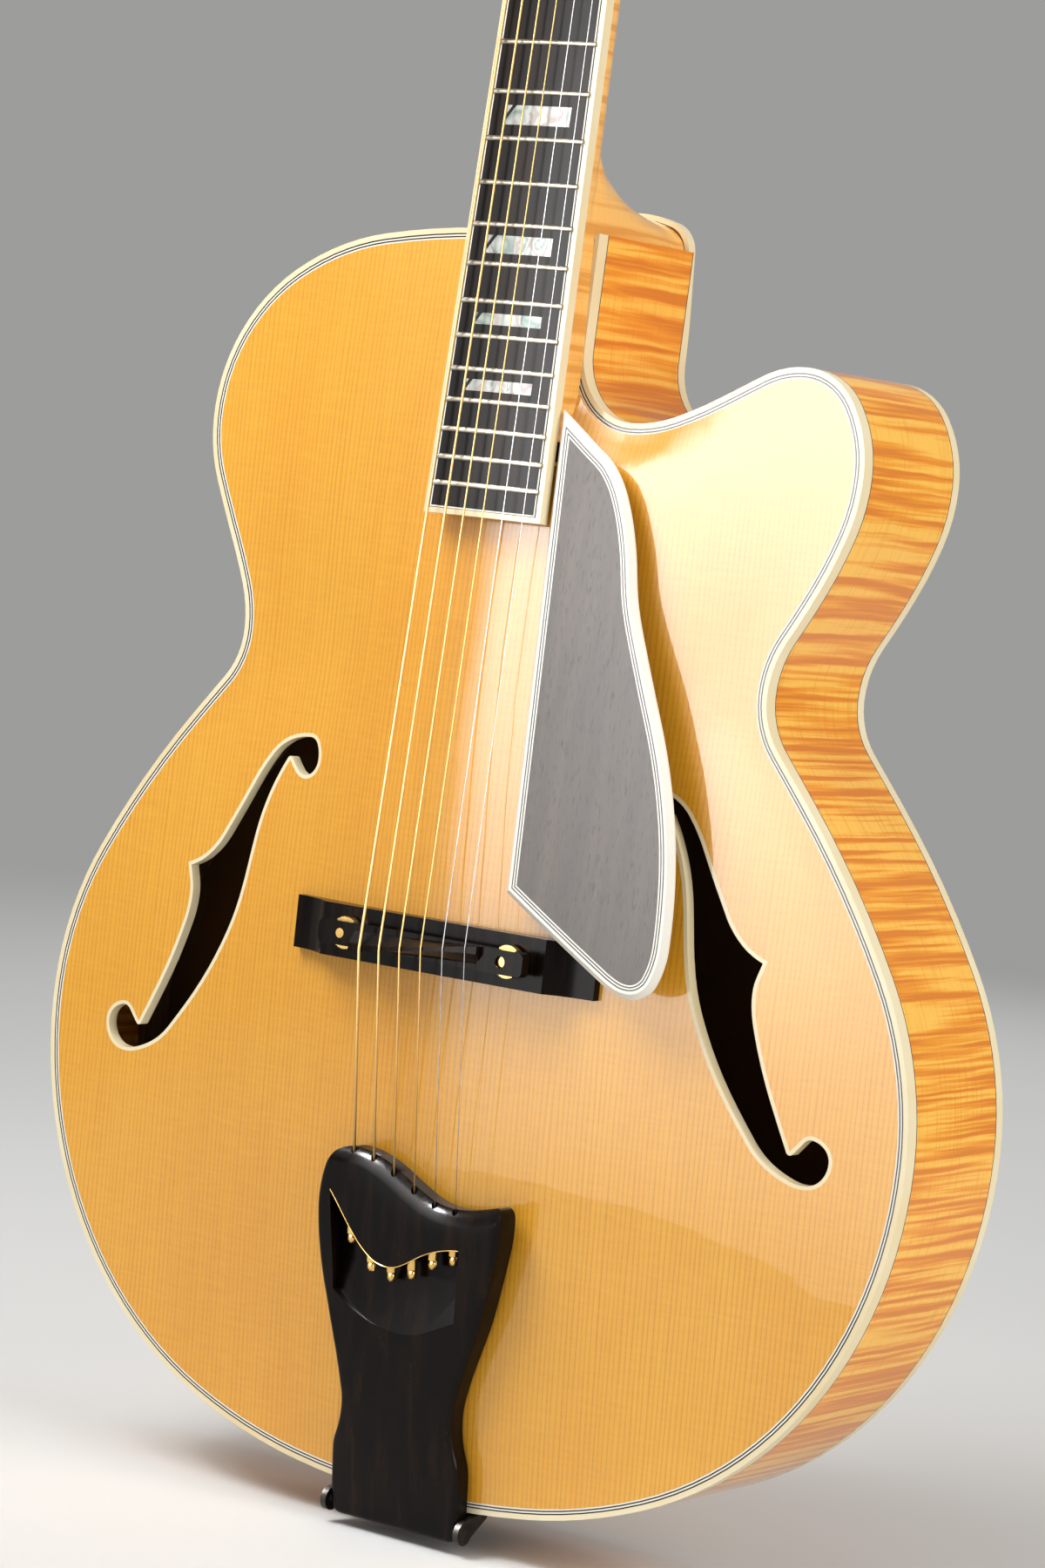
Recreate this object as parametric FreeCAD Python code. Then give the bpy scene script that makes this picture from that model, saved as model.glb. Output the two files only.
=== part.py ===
"""Archtop guitar with a rounded cutaway, as an assembly of separate pieces.

The pieces are drawn in a body frame: x to the treble side, y from the front rim plane to the back,
z up from the tail. They are moved to the part's own frame, whose origin is the end pin's head, when
they are saved. Lengths are millimetres, angles are degrees.
"""
import FreeCAD, Part
import math
import os

V = FreeCAD.Vector
ORIGIN = V(0, 0, 0)
X = V(1, 0, 0)
Y = V(0, 1, 0)
Z = V(0, 0, 1)

# Body outline
BODY_LENGTH = 527.0
LOWER_BOUT = 434.0
LOWER_BOUT_Z = 177.0
WAIST = 263.4
WAIST_Z = 350.0
UPPER_BOUT = 320.6
UPPER_BOUT_Z = 438.0
TAIL_CORNER_X = 115.5
TAIL_CORNER_Z = 20.7
SHOULDER_X = 124.0
SHOULDER_DROP = 23.5
NECK_SEAT_HALF = 29.0
SEAT_EDGE = 3.5
SEAT_GAP_L = 12.0
CUTAWAY_X = 53.6
CUTAWAY_DEPTH = 75.0
HORN_X = 133.0
HORN_DROP = 47.0
HORN_REACH = 164.3
HORN_SIDE_DROP = 87.0
HEEL_BUTTON_RISE = 15.0
HEEL_BUTTON_HALF = 26.5

# Body shell
RIM_DEPTH = 76.0
RIM_T = 2.6
TOP_T = 5.0
BACK_T = 5.0
TOP_RISE = 17.0
BACK_RISE = 14.0
ARCH_FULLNESS = 0.9
RECURVE_W = 22.0
LINING_W = 6.0
LINING_H = 14.0
LINING_GAP = 0.05
CHANNEL_DEEP = 0.8
TONE_BAR_W = 7.0
TONE_BAR_H = 12.0
TONE_BAR_X = 36.0
TONE_BAR_SPLAY = 7.0
TONE_BAR_BOTTOM = 110.0
TONE_BAR_TOP = 440.0
NECK_BLOCK_HALF = 36.0
NECK_BLOCK_L = 58.0
END_BLOCK_HALF = 45.0
END_BLOCK_L = 26.0

# Binding and purfling
BIND_W = 2.2
TOP_BIND_H = 6.5
BACK_BIND_H = 5.0
LINE_W = 0.6
SIDE_LINE_H = 0.5
F_BIND_W = 1.6
GLUE_GAP = 0.02

# Scale, neck and fingerboard
SCALE = 647.7
FRET_COUNT = 22
BODY_FRET = 14
NECK_ANGLE = 3.5
BOARD_HEIGHT = 14.7
BOARD_T = 6.5
BOARD_NUT_W = 43.0
BOARD_END_W = 58.0
BOARD_OVERHANG = 12.5
BOARD_RADIUS = 305.0
BOARD_BIND_W = 2.2
FRET_W = 2.2
FRET_H = 1.1
INLAY_W = 33.0
INLAY_T = 1.2
INLAY_FRETS = {1: 9.0, 3: 9.0, 5: 9.0, 7: 9.0, 9: 8.5, 12: 8.0, 15: 7.4, 17: 4.7, 19: 4.7}
SLASH_W = 2.0
SLASH_RUN = 0.75
NUT_T = 5.0
NUT_STRING_H = 1.6
NUT_LIP = 1.0
NUT_OVER = 5.0
NECK_DEPTH_NUT = 15.0
NECK_DEPTH_HEEL = 18.0
NECK_ROUND = 2.2
HEAD_ROUND = 7.0
HEEL_START = 64.0
HEEL_BACK_HALF = 24.0
EXTENSION_L = 95.0
EXTENSION_TRIM = 0.6
TENON_HALF = 14.0
TENON_L = 16.0
JOINT_LAP = 3.0

# Headstock
HEAD_ANGLE = 14.0
HEAD_T = 15.0
HEAD_L = 172.0
HEAD_LOW_HALF = 27.0
HEAD_MID_HALF = 37.0
HEAD_TOP_HALF = 42.0
VENEER_T = 1.6

# Truss rod
ROD_R = 2.2
ROD_DEPTH = 7.0
ROD_NUT_R = 3.6
ROD_NUT_L = 7.0
ROD_NUT_GAP = 4.0
ROD_POCKET_GAP = 1.3
COVER_T = 1.8
COVER_L = 36.0
COVER_HALF = 11.0
COVER_LOW = 5.0
COVER_SCREW_INSET = 3.5
COVER_SCREW_RISE = 6.0

# Tuners
POST_X = 25.0
POST_FIRST = 48.0
POST_STEP = 41.0
POST_R = 3.0
POST_OUT = 16.0
RUN_GAP = 0.05
GEAR_TEETH = 16
GEAR_R = 5.4
GEAR_ROOT_R = 4.5
GEAR_T = 4.0
WORM_R = 2.3
WORM_L = 10.0
MESH_GAP = 0.25
SHAFT_R = 1.7
CASE_GAP = 0.8
CASE_WALL = 1.3
EAR_HALF = 3.2
EAR_L = 6.0
BUTTON_L = 17.0
BUTTON_H = 15.0
BUTTON_T = 6.6
BUTTON_GAP = 5.0
BUSH_R = 5.0
BUSH_FLANGE_R = 7.0
BUSH_FLANGE_T = 1.4
SCREW_HEAD_R = 2.0
SCREW_R = 1.1
SCREW_L = 8.0

# Bridge
BRIDGE_Z = 232.0
BRIDGE_HALF = 76.0
BRIDGE_W = 22.0
BASE_TOP = 23.5
BASE_FLAT_HALF = 56.0
BASE_TIP_T = 4.0
STUD_X = 41.0
STUD_R = 2.0
STUD_TOP = 31.6
STUD_SINK = 4.0
WHEEL_R = 6.8
WHEEL_T = 2.9
WHEEL_DROP = 1.8
WHEEL_TEETH = 36
SADDLE_TOP = 37.5
SADDLE_HALF = 52.0
SADDLE_W = 10.0
SADDLE_TAB_T = 3.4
SADDLE_BLOCK_T = 5.0
SADDLE_BLADE_HALF = 31.0
BLADE_SINK = 1.0
BLADE_INSET = 0.3
CREST_W = 1.6
CREST_TREBLE = 4.0
CREST_BASS = -5.2
STUD_HOLE_GAP = 0.4

# Strings, bass to treble
STRING_D = [1.32, 1.07, 0.81, 0.61, 0.41, 0.33]
STRING_SADDLE_STEP = 10.4
STRING_NUT_STEP = 7.1
STRING_TAIL_STEP = 10.4
STRING_GAP = 0.16
SADDLE_GAP = 0.3
STRING_BEND_R = 8.0
WIND_TURNS = 3
WIND_START = 4.0
WIND_GAP = 0.5
WIND_POST_GAP = 0.15
STRING_TAIL_END = 3.0
BALL_R = 1.9
BALL_L = 3.6

# Tailpiece
HINGE_Y = -6.0
HINGE_Z = -6.0
HINGE_R = 2.0
TAIL_UNDER = 1.6
TAIL_UNDER_SLOPE = 0.105
TAIL_FRONT = 9.6
TAIL_FRONT_SLOPE = 0.138
TAIL_EDGE_R = 2.4
TAIL_CREST = [(-26.0, 145.3, 0), (-3.0, 138.6, 330), (24.0, 128.2, 0), (45.6, 132.2, 18)]
CREST_R = 9.0
CREST_LAP = 0.15
CREST_CLEAR = 3.0
POCKET_FOOT_Z = 71.0
POCKET_DEEP_Z = 97.0
POCKET_FLOOR_T = 3.2
TUNNEL_GAP = 0.7
FERRULE_R = 2.2
FERRULE_L = 9.0
FERRULE_OUT = 2.0
BRACKET_T = 2.0
TAIL_FOOT_HALF = 32.5
BRACKET_EAR_T = 2.6
BRACKET_EAR_R = 5.0
BRACKET_FRONT_Y = 2.0
BRACKET_BACK = 12.0
BRACKET_WEB_Y = 9.0
BRACKET_SCREW_X = 20.0
BRACKET_SCREW_Y = 22.0
SCREW_SEAT_GAP = 0.15
TAIL_SIDE_GAP = 0.4

# End pin
PIN_R = 7.0
PIN_HEAD_L = 5.0
PIN_NECK_R = 4.5
PIN_NECK_L = 7.0
PIN_FLANGE_R = 8.0
PIN_FLANGE_T = 1.5
PIN_SHANK_R = 3.5
PIN_SHANK_L = 20.0

# Pickguard
GUARD_HEIGHT = 28.4
GUARD_T = 3.2
GUARD_BIND_W = 3.4
GUARD_BEVEL = 2.2
GUARD_POST_X = 88.0
GUARD_POST_Z = 268.0
GUARD_POST_R = 5.0
GUARD_ARM_Z = 438.0
GUARD_ARM_W = 8.0
GUARD_ARM_T = 4.0
GUARD_ARM_X = 42.0

# Levels that follow from the sizes above
LINES_W = 4 * LINE_W
PLATE_INSET = BIND_W + LINES_W
PIN_STANDOFF = PIN_HEAD_L / 2 + PIN_NECK_L + PIN_FLANGE_T + BRACKET_T
PIN_Y = RIM_DEPTH / 2
WHEEL_TOP = BASE_TOP + WHEEL_DROP + WHEEL_T
STRING_COUNT = len(STRING_D)
NEARLY_STRAIGHT = 2e-3


def lerp(a, b, t):
    return a + (b - a) * t


def heading(angle):
    """Unit direction in the front plane, turned from +x towards +z."""
    return V(math.cos(math.radians(angle)), 0, math.sin(math.radians(angle)))


def arc_edge(start, leave, end):
    """Arc, or straight edge, that leaves start along a direction and stops at end."""
    chord = end - start
    along = V(chord).normalize()
    side = leave - along * leave.dot(along)
    if side.Length < NEARLY_STRAIGHT:
        return Part.LineSegment(start, end).toShape()
    half_turn = math.atan2(side.Length, leave.dot(along))
    bulge = chord.Length / 2 * math.tan(half_turn / 2)
    middle = (start + end) * 0.5 + side.normalize() * bulge
    return Part.Arc(start, middle, end).toShape()


def biarc(start, leave, end, arrive):
    """Two edges, smooth where they meet, from one point and direction to another."""
    span = end - start
    spread = 2 * (1 - leave.dot(arrive))
    reach = span.dot(leave + arrive)
    if spread < 1e-7:
        pull = span.dot(span) / (2 * reach)
    else:
        pull = (math.sqrt(reach * reach + spread * span.dot(span)) - reach) / spread
    joint = (start + end + (leave - arrive) * pull) * 0.5
    through = (joint - (start + leave * pull)).normalize()
    return [arc_edge(start, leave, joint), arc_edge(joint, through, end)]


def smooth_wire(nodes):
    """Closed wire in the front plane through (x, z, heading) nodes; a repeated point is a corner."""
    edges = []
    for here, there in zip(nodes, nodes[1:] + nodes[:1]):
        start = V(here[0], 0, here[1])
        end = V(there[0], 0, there[1])
        if start.distanceToPoint(end) < 1e-6:
            continue
        edges += biarc(start, heading(here[2]), end, heading(there[2]))
    return Part.Wire(Part.__sortEdges__(edges))


def mirrored(nodes):
    """The same nodes on the other side of the centreline, walked the other way round."""
    return [(-x, z, 360 - a) for x, z, a in reversed(nodes)]


def prism(wire, y0, y1):
    face = Part.Face(wire)
    face.translate(V(0, y0, 0))
    return face.extrude(V(0, y1 - y0, 0))


def inset(wire, distance):
    return wire.makeOffset2D(-distance) if distance else wire


def ring(wire, outer, inner, y0, y1):
    """Band of a closed outline between two insets."""
    return prism(inset(wire, outer), y0, y1).cut(prism(inset(wire, inner), y0, y1))


def box(x0, x1, y0, y1, z0, z1):
    return Part.makeBox(x1 - x0, y1 - y0, z1 - z0, V(x0, y0, z0))


def rod(radius, start, end):
    run = end - start
    return Part.makeCylinder(radius, run.Length, start, run)


def polygon(points):
    return Part.makePolygon(points + points[:1])


def slab(points, direction):
    """Solid made by pushing a flat polygon along a direction."""
    return Part.Face(polygon(points)).extrude(direction)


def solids(shape):
    return Part.makeCompound(shape.Solids)


# Body outline, from the tail round the bass side, over the neck seat and down the treble side
def body_nodes(neck_seat):
    low = LOWER_BOUT / 2
    mid = WAIST / 2
    high = UPPER_BOUT / 2
    dip = (lerp(mid, low, 0.277), lerp(WAIST_Z, LOWER_BOUT_Z, 0.231))
    flare = (lerp(mid, high, 0.40), lerp(WAIST_Z, UPPER_BOUT_Z, 0.416))
    horn_flare = (lerp(mid, HORN_REACH, 0.57), lerp(WAIST_Z, BODY_LENGTH - HORN_SIDE_DROP, 0.483))
    cut_z = BODY_LENGTH - CUTAWAY_DEPTH
    horn_z = BODY_LENGTH - HORN_DROP
    wall_x = NECK_SEAT_HALF - 1.4
    bass = [
        (0, 0, 180),
        (-TAIL_CORNER_X, TAIL_CORNER_Z, 157),
        (-low, LOWER_BOUT_Z, 90),
        (-dip[0], dip[1], 50),
        (-mid, WAIST_Z, 90),
        (-flare[0], flare[1], 116),
        (-high, UPPER_BOUT_Z, 90),
        (-SHOULDER_X, BODY_LENGTH - SHOULDER_DROP, 33.5),
    ]
    treble = [
        (wall_x, lerp(BODY_LENGTH, cut_z, 0.63), 268.5),
        (CUTAWAY_X, cut_z, 0),
        (lerp(CUTAWAY_X, HORN_X, 0.523), lerp(cut_z, horn_z, 0.475), 28),
        (HORN_X, horn_z, 0),
        (HORN_REACH, BODY_LENGTH - HORN_SIDE_DROP, 270),
        (horn_flare[0], horn_flare[1], 242),
        (mid, WAIST_Z, 270),
        (dip[0], dip[1], 310),
        (low, LOWER_BOUT_Z, 270),
        (TAIL_CORNER_X, TAIL_CORNER_Z, 203),
    ]
    return bass + neck_seat + treble


def front_outline():
    seat = [
        (-NECK_SEAT_HALF, BODY_LENGTH - 0.6, 2),
        (NECK_SEAT_HALF, BODY_LENGTH, 0.5),
        (NECK_SEAT_HALF, BODY_LENGTH, 268.5),
    ]
    return smooth_wire(body_nodes(seat))


def back_outline():
    """Front outline with a rounded button over the heel."""
    top = BODY_LENGTH + HEEL_BUTTON_RISE
    seat = [
        (-HEEL_BUTTON_HALF, BODY_LENGTH - 0.6, 2),
        (-HEEL_BUTTON_HALF, BODY_LENGTH - 0.6, 88),
        (0, top, 0),
        (HEEL_BUTTON_HALF, BODY_LENGTH, 272),
    ]
    return smooth_wire(body_nodes(seat))


def f_hole_nodes():
    """Bass-side f-hole at the outside of its binding."""
    return [
        (-84.5, 310.0, 180),
        (-106.1, 300.4, 231),
        (-122.0, 273.7, 241),
        (-136.5, 252.8, 220),
        (-147.0, 247.0, 200),
        (-147.0, 247.0, 287),
        (-143.8, 233.0, 268),
        (-149.0, 212.0, 250),
        (-166.0, 175.0, 243),
        (-166.0, 175.0, 132),
        (-176.0, 182.4, 188),
        (-185.0, 173.0, 270),
        (-175.5, 161.2, 350),
        (-158.5, 165.0, 27),
        (-137.5, 186.5, 53),
        (-117.5, 221.0, 67),
        (-109.6, 252.0, 82),
        (-104.5, 277.0, 72),
        (-95.0, 297.5, 58),
        (-95.0, 297.5, 309),
        (-85.5, 290.7, 356),
        (-76.7, 299.5, 90),
    ]


class Arch:
    """Smooth arched height over the body, zero at the edge, as a formula and as faces."""

    STEP = 12.0

    def __init__(self, outline):
        self.rim = outline.discretize(Number=1200)
        self.face = Part.Face(outline)
        side = sorted((p.z, -p.x) for p in self.rim if p.x <= 0)
        self.side_z = [z for z, x in side]
        self.side_x = [x for z, x in side]
        margin = 2 * self.STEP
        self.columns = math.ceil((LOWER_BOUT / 2 + margin) / self.STEP)
        self.rows = math.ceil((BODY_LENGTH + HEEL_BUTTON_RISE + 2 * margin) / self.STEP)
        self.grid = [
            [
                self.share((i - self.columns) * self.STEP, j * self.STEP - margin)
                for j in range(self.rows + 1)
            ]
            for i in range(2 * self.columns + 1)
        ]

    def half_width(self, z):
        for i in range(1, len(self.side_z)):
            if self.side_z[i] >= z:
                gap = self.side_z[i] - self.side_z[i - 1]
                t = (z - self.side_z[i - 1]) / gap if gap > 1e-9 else 0
                return lerp(self.side_x[i - 1], self.side_x[i], t)
        return self.side_x[-1]

    def share(self, x, z):
        """Height at a point, as a share of the full rise."""
        if not 0 < z < BODY_LENGTH or not self.face.isInside(V(x, 0, z), 0.01, True):
            return 0.0
        along = math.sin(math.pi * z / BODY_LENGTH) ** ARCH_FULLNESS
        t = min(abs(x) / max(self.half_width(z), 1.0), 1.0)
        across = (1 + math.cos(math.pi * t)) / 2
        edge = min(math.hypot(p.x - x, p.z - z) for p in self.rim)
        s = min(edge / RECURVE_W, 1.0)
        return along * across * s * s * (3 - 2 * s)

    def skin(self, y, rise):
        """Arched face that leaves the plane at y by rise, towards the front if rise is negative."""
        margin = 2 * self.STEP
        points = [
            [
                V((i - self.columns) * self.STEP, y + rise * value, j * self.STEP - margin)
                for j, value in enumerate(column)
            ]
            for i, column in enumerate(self.grid)
        ]
        surface = Part.BSplineSurface()
        surface.interpolate(points)
        return surface.toShape()


def save(name, shape):
    """Moves a piece to the part's frame and writes it."""
    moved = shape.copy()
    moved.translate(V(0, -PIN_Y, PIN_STANDOFF))
    moved.exportStep("parts/" + name + ".step")
    state = "valid" if moved.isValid() else "INVALID"
    print(name, len(moved.Solids), "solids", round(moved.Volume / 1000, 2), "cm3", state)


# The shell of the body
def build_body():
    front = front_outline()
    back = back_outline()
    arch = Arch(front)
    top_skin = arch.skin(0, -TOP_RISE)
    back_skin = arch.skin(RIM_DEPTH, BACK_RISE)
    top_slab = top_skin.extrude(V(0, TOP_T, 0))
    back_slab = back_skin.extrude(V(0, -BACK_T, 0))
    deep = RIM_DEPTH + TOP_RISE + BACK_RISE
    below_top = top_skin.extrude(V(0, deep, 0))
    below_top.translate(V(0, TOP_T + LINING_GAP, 0))
    above_back = back_skin.extrude(V(0, -deep, 0))
    above_back.translate(V(0, -BACK_T - LINING_GAP, 0))
    chamber = below_top.common(above_back)
    channel = ring(front, 0, PLATE_INSET + GLUE_GAP, -TOP_RISE, TOP_T + CHANNEL_DEEP)
    tall = (-TOP_RISE - 5, RIM_DEPTH + BACK_RISE + 5)
    tail_holes = [rod(SCREW_R, V(x, y, -1), V(x, y, SCREW_L)) for x, y in bracket_screw_places()]
    tail_holes.append(rod(PIN_SHANK_R, V(0, PIN_Y, -1), V(0, PIN_Y, PIN_SHANK_L)))
    tail_holes = Part.makeCompound(tail_holes)

    # Plates and the binding of their f-holes
    bass_f = smooth_wire(f_hole_nodes())
    treble_f = smooth_wire(mirrored(f_hole_nodes()))
    top = top_slab.common(prism(inset(front, PLATE_INSET + GLUE_GAP), *tall))
    f_bands = []
    for hole in (bass_f, treble_f):
        top = top.cut(prism(hole, *tall))
        f_bands += top_slab.common(ring(hole, 0, F_BIND_W, *tall)).Solids
    save("top_plate", top)
    save("f_hole_binding", Part.makeCompound(f_bands))
    save("back_plate", back_slab.common(prism(inset(back, BIND_W + GLUE_GAP), *tall)))

    # Rim halves between the two bindings, open at the neck seat
    rim_y = (TOP_BIND_H + SIDE_LINE_H, RIM_DEPTH - BACK_BIND_H - SIDE_LINE_H)
    gap_half = NECK_SEAT_HALF - SEAT_EDGE
    gap_low = BODY_LENGTH - SEAT_GAP_L
    seat_gap = box(-gap_half, gap_half, -1, RIM_DEPTH + 1, gap_low, BODY_LENGTH + 1)
    rim = ring(front, 0, RIM_T, *rim_y).cut(seat_gap).cut(tail_holes)
    wide = LOWER_BOUT
    save("rim_bass", solids(rim.common(box(-wide, 0, 0, RIM_DEPTH, -5, BODY_LENGTH + 5))))
    save("rim_treble", solids(rim.common(box(0, wide, 0, RIM_DEPTH, -5, BODY_LENGTH + 5))))

    # Binding, purfling lines and the thin dark lines on the side
    save("top_binding", ring(front, 0, BIND_W, 0, TOP_BIND_H).cut(seat_gap))
    save("back_binding", ring(back, 0, BIND_W, RIM_DEPTH - BACK_BIND_H, RIM_DEPTH))
    lines = []
    for k in range(4):
        start = BIND_W + k * LINE_W
        bands = ring(front, start, start + LINE_W, 0, TOP_T).cut(seat_gap).Solids
        lines.append(max(bands, key=lambda band: band.Volume))
    side_front = ring(front, 0, BIND_W, TOP_BIND_H, rim_y[0]).cut(seat_gap)
    side_back = ring(front, 0, BIND_W, rim_y[1], RIM_DEPTH - BACK_BIND_H).cut(seat_gap)
    save("black_purfling", Part.makeCompound([lines[0], lines[2], side_front, side_back]))
    save("white_purfling", Part.makeCompound([lines[1], lines[3]]))

    # Blocks, linings and tone bars inside
    inner = inset(front, RIM_T)
    cavity = chamber.common(prism(inner, *tall)).cut(channel)
    block_z = BODY_LENGTH - NECK_BLOCK_L
    arched = (-TOP_RISE, RIM_DEPTH + BACK_RISE)
    neck_zone = box(-NECK_BLOCK_HALF, NECK_BLOCK_HALF, *arched, block_z, BODY_LENGTH + 5)
    end_zone = box(-END_BLOCK_HALF, END_BLOCK_HALF, *arched, -5, END_BLOCK_L)
    block = cavity.common(neck_zone)
    collar = ring(front, 0, PLATE_INSET, 0, RIM_DEPTH - BACK_BIND_H).common(seat_gap)
    save("neck_block", block.fuse(collar).removeSplitter().cut(neck_tenon()))
    save("end_block", cavity.common(end_zone).cut(tail_holes))
    blocks = Part.makeCompound([neck_zone, end_zone])
    inside = (RIM_T, RIM_T + LINING_W)
    back_y = RIM_DEPTH - BACK_T
    top_lining = chamber.common(ring(front, *inside, 0, TOP_T + LINING_H)).cut(blocks).cut(channel)
    back_lining = chamber.common(ring(front, *inside, back_y - LINING_H, RIM_DEPTH)).cut(blocks)
    save("kerfed_linings", Part.makeCompound(top_lining.Solids + back_lining.Solids))
    under_top = top_skin.extrude(V(0, TONE_BAR_H, 0))
    under_top.translate(V(0, TOP_T, 0))
    bars = []
    for s in (-1, 1):
        foot = s * (TONE_BAR_X + TONE_BAR_SPLAY)
        head = s * (TONE_BAR_X - TONE_BAR_SPLAY)
        half = TONE_BAR_W / 2
        plan = [
            V(foot - half, tall[0], TONE_BAR_BOTTOM),
            V(foot + half, tall[0], TONE_BAR_BOTTOM),
            V(head + half, tall[0], TONE_BAR_TOP),
            V(head - half, tall[0], TONE_BAR_TOP),
        ]
        bars += under_top.common(slab(plan, V(0, deep, 0))).Solids
    save("tone_bars", Part.makeCompound(bars))
    return arch, top_skin


# Frames of the neck and of the headstock
def fret_z(n):
    """Place of a fret in the neck frame, where the nut line is z 0 and the crest of the board is y 0."""
    return -SCALE * (1 - 2 ** (-n / 12))


def tilted(local, at, angle):
    """Placement that leans a frame back by an angle and puts one of its points at a given point."""
    turn = FreeCAD.Rotation(X, -angle)
    return FreeCAD.Placement(at - turn.multVec(local), turn)


BOARD_L = BOARD_OVERHANG - fret_z(FRET_COUNT)
NECK = tilted(V(0, 0, fret_z(BODY_FRET)), V(0, -BOARD_HEIGHT, BODY_LENGTH), NECK_ANGLE)
HEAD = NECK.multiply(tilted(ORIGIN, V(0, BOARD_T, NUT_T), HEAD_ANGLE))
GUARD = tilted(V(0, 0, BRIDGE_Z), V(0, -GUARD_HEIGHT, BRIDGE_Z), NECK_ANGLE)


def placed(shape, placement):
    return shape.transformed(placement.toMatrix(), True)


def neck_tenon():
    deep = RIM_DEPTH - BACK_T - BACK_BIND_H
    return box(-TENON_HALF, TENON_HALF, TOP_T + 1, deep, BODY_LENGTH - TENON_L, BODY_LENGTH + JOINT_LAP)


# Fingerboard, in the neck frame
def board_half(z):
    return lerp(BOARD_NUT_W, BOARD_END_W, -z / BOARD_L) / 2


def board_slab(trim, y0, y1, z0, z1):
    """Slab with the taper of the fingerboard, trimmed at both sides."""
    plan = [
        V(trim - board_half(z0), y0, z0),
        V(board_half(z0) - trim, y0, z0),
        V(board_half(z1) - trim, y0, z1),
        V(trim - board_half(z1), y0, z1),
    ]
    return slab(plan, V(0, y1 - y0, 0))


def barrel(extra, crest=0.0, z0=-600.0, z1=100.0):
    """Long cylinder with the fingerboard's radius, its crest raised above a level."""
    return Part.makeCylinder(BOARD_RADIUS + extra, z1 - z0, V(0, crest + BOARD_RADIUS, z0), Z)


def inlay_plans(n, height):
    """Block with a slanted end, and the small corner piece that the slash parts from it."""
    middle = (fret_z(n - 1) + fret_z(n)) / 2
    low = middle - height / 2
    high = middle + height / 2
    left = -INLAY_W / 2
    run = height * SLASH_RUN
    corner = run - SLASH_W
    block = [V(left, -1, low), V(-left, -1, low), V(-left, -1, high), V(left + run, -1, high)]
    chip = [V(left, -1, high), V(left + corner, -1, high), V(left, -1, high - corner / SLASH_RUN)]
    return [block, chip]


def fret_wire(n):
    """Half-round fret bent to the fingerboard's radius."""
    z = fret_z(n)
    half = board_half(z) - BOARD_BIND_W
    sweep = math.degrees(2 * math.asin(half / BOARD_RADIUS))
    foot = V(0, 0, z - FRET_W / 2)
    top = V(0, 0, z + FRET_W / 2)
    crown = Part.Arc(foot, V(0, -FRET_H, z), top).toShape()
    profile = Part.Face(Part.Wire([crown, Part.LineSegment(top, foot).toShape()]))
    axis = V(0, BOARD_RADIUS, 0)
    profile.rotate(axis, Z, -sweep / 2)
    return profile.revolve(axis, Z, sweep)


def build_fingerboard():
    crown = barrel(0)
    core_end = BOARD_BIND_W - BOARD_L
    core = board_slab(BOARD_BIND_W, -5, BOARD_T, 0, core_end)
    board = core.common(crown)
    binding = board_slab(0, -5, BOARD_T, 0, -BOARD_L).cut(core).common(crown)
    shell = crown.cut(barrel(-INLAY_T))
    pearls = []
    for n, height in INLAY_FRETS.items():
        for plan in inlay_plans(n, height):
            pearls += slab(plan, V(0, BOARD_T, 0)).common(shell).Solids
    pearls = Part.makeCompound(pearls)
    frets = [fret_wire(n) for n in range(1, FRET_COUNT + 1)]
    save("fingerboard", placed(board.cut(pearls), NECK))
    save("fingerboard_binding", placed(binding, NECK))
    save("fret_inlays", placed(pearls, NECK))
    save("frets", placed(Part.makeCompound(frets), NECK))


# Neck, with its heel, extension and headstock
def round_section(half, depth, power, at):
    """Closed wire across the neck: flat on the fingerboard side, rounded at the back."""
    points = []
    steps = 16
    for k in range(steps + 1):
        c = math.cos(math.pi * k / steps)
        s = math.sin(math.pi * k / steps)
        x = half * math.copysign(abs(c) ** (2 / power), c)
        points.append(V(x, depth * abs(s) ** (2 / power), 0))
    curve = Part.BSplineCurve()
    curve.interpolate(points)
    flat = Part.LineSegment(points[-1], points[0]).toShape()
    return placed(Part.Wire([curve.toShape(), flat]), at)


def shift(x, y, z):
    return FreeCAD.Placement(V(x, y, z), FreeCAD.Rotation())


def heel_section(y):
    """Closed wire of the heel at one depth: a flat against the body and a rounded nose above it."""
    deep = RIM_DEPTH - BACK_T
    low = BOARD_T - BOARD_HEIGHT
    blend = low + 2 * BOARD_T
    nose = HEEL_BUTTON_RISE - BIND_W
    if y >= blend:
        t = (deep - y) / (deep - blend)
        reach = nose + (HEEL_START - nose) * (1 - math.sqrt(1 - t * t))
    else:
        reach = lerp(HEEL_START / 2, HEEL_START, (y - low) / (blend - low))
    front_half = board_half(fret_z(BODY_FRET)) - EXTENSION_TRIM
    half = lerp(front_half, HEEL_BACK_HALF, (y - low) / (deep - low))
    points = []
    steps = 12
    for k in range(steps + 1):
        a = math.pi * k / steps
        points.append(V(half * math.cos(a), y, BODY_LENGTH + reach * math.sin(a)))
    curve = Part.BSplineCurve()
    curve.interpolate(points)
    return Part.Wire([curve.toShape(), Part.LineSegment(points[-1], points[0]).toShape()])


def head_outline(low_z, low_half):
    """Plain tapered headstock with a gently arched top, in the headstock frame."""
    side_z = HEAD_L - 9.0
    mid_z = POST_FIRST
    right = [
        (HEAD_TOP_HALF, side_z, 338),
        (HEAD_TOP_HALF, side_z, 271),
        (HEAD_MID_HALF, mid_z, 266),
        (low_half, low_z, 235),
        (low_half, low_z, 180),
    ]
    left = [(-x, z, 360 - a) for x, z, a in reversed(right)]
    return smooth_wire(right + left + [(0, HEAD_L, 0)])


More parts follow.
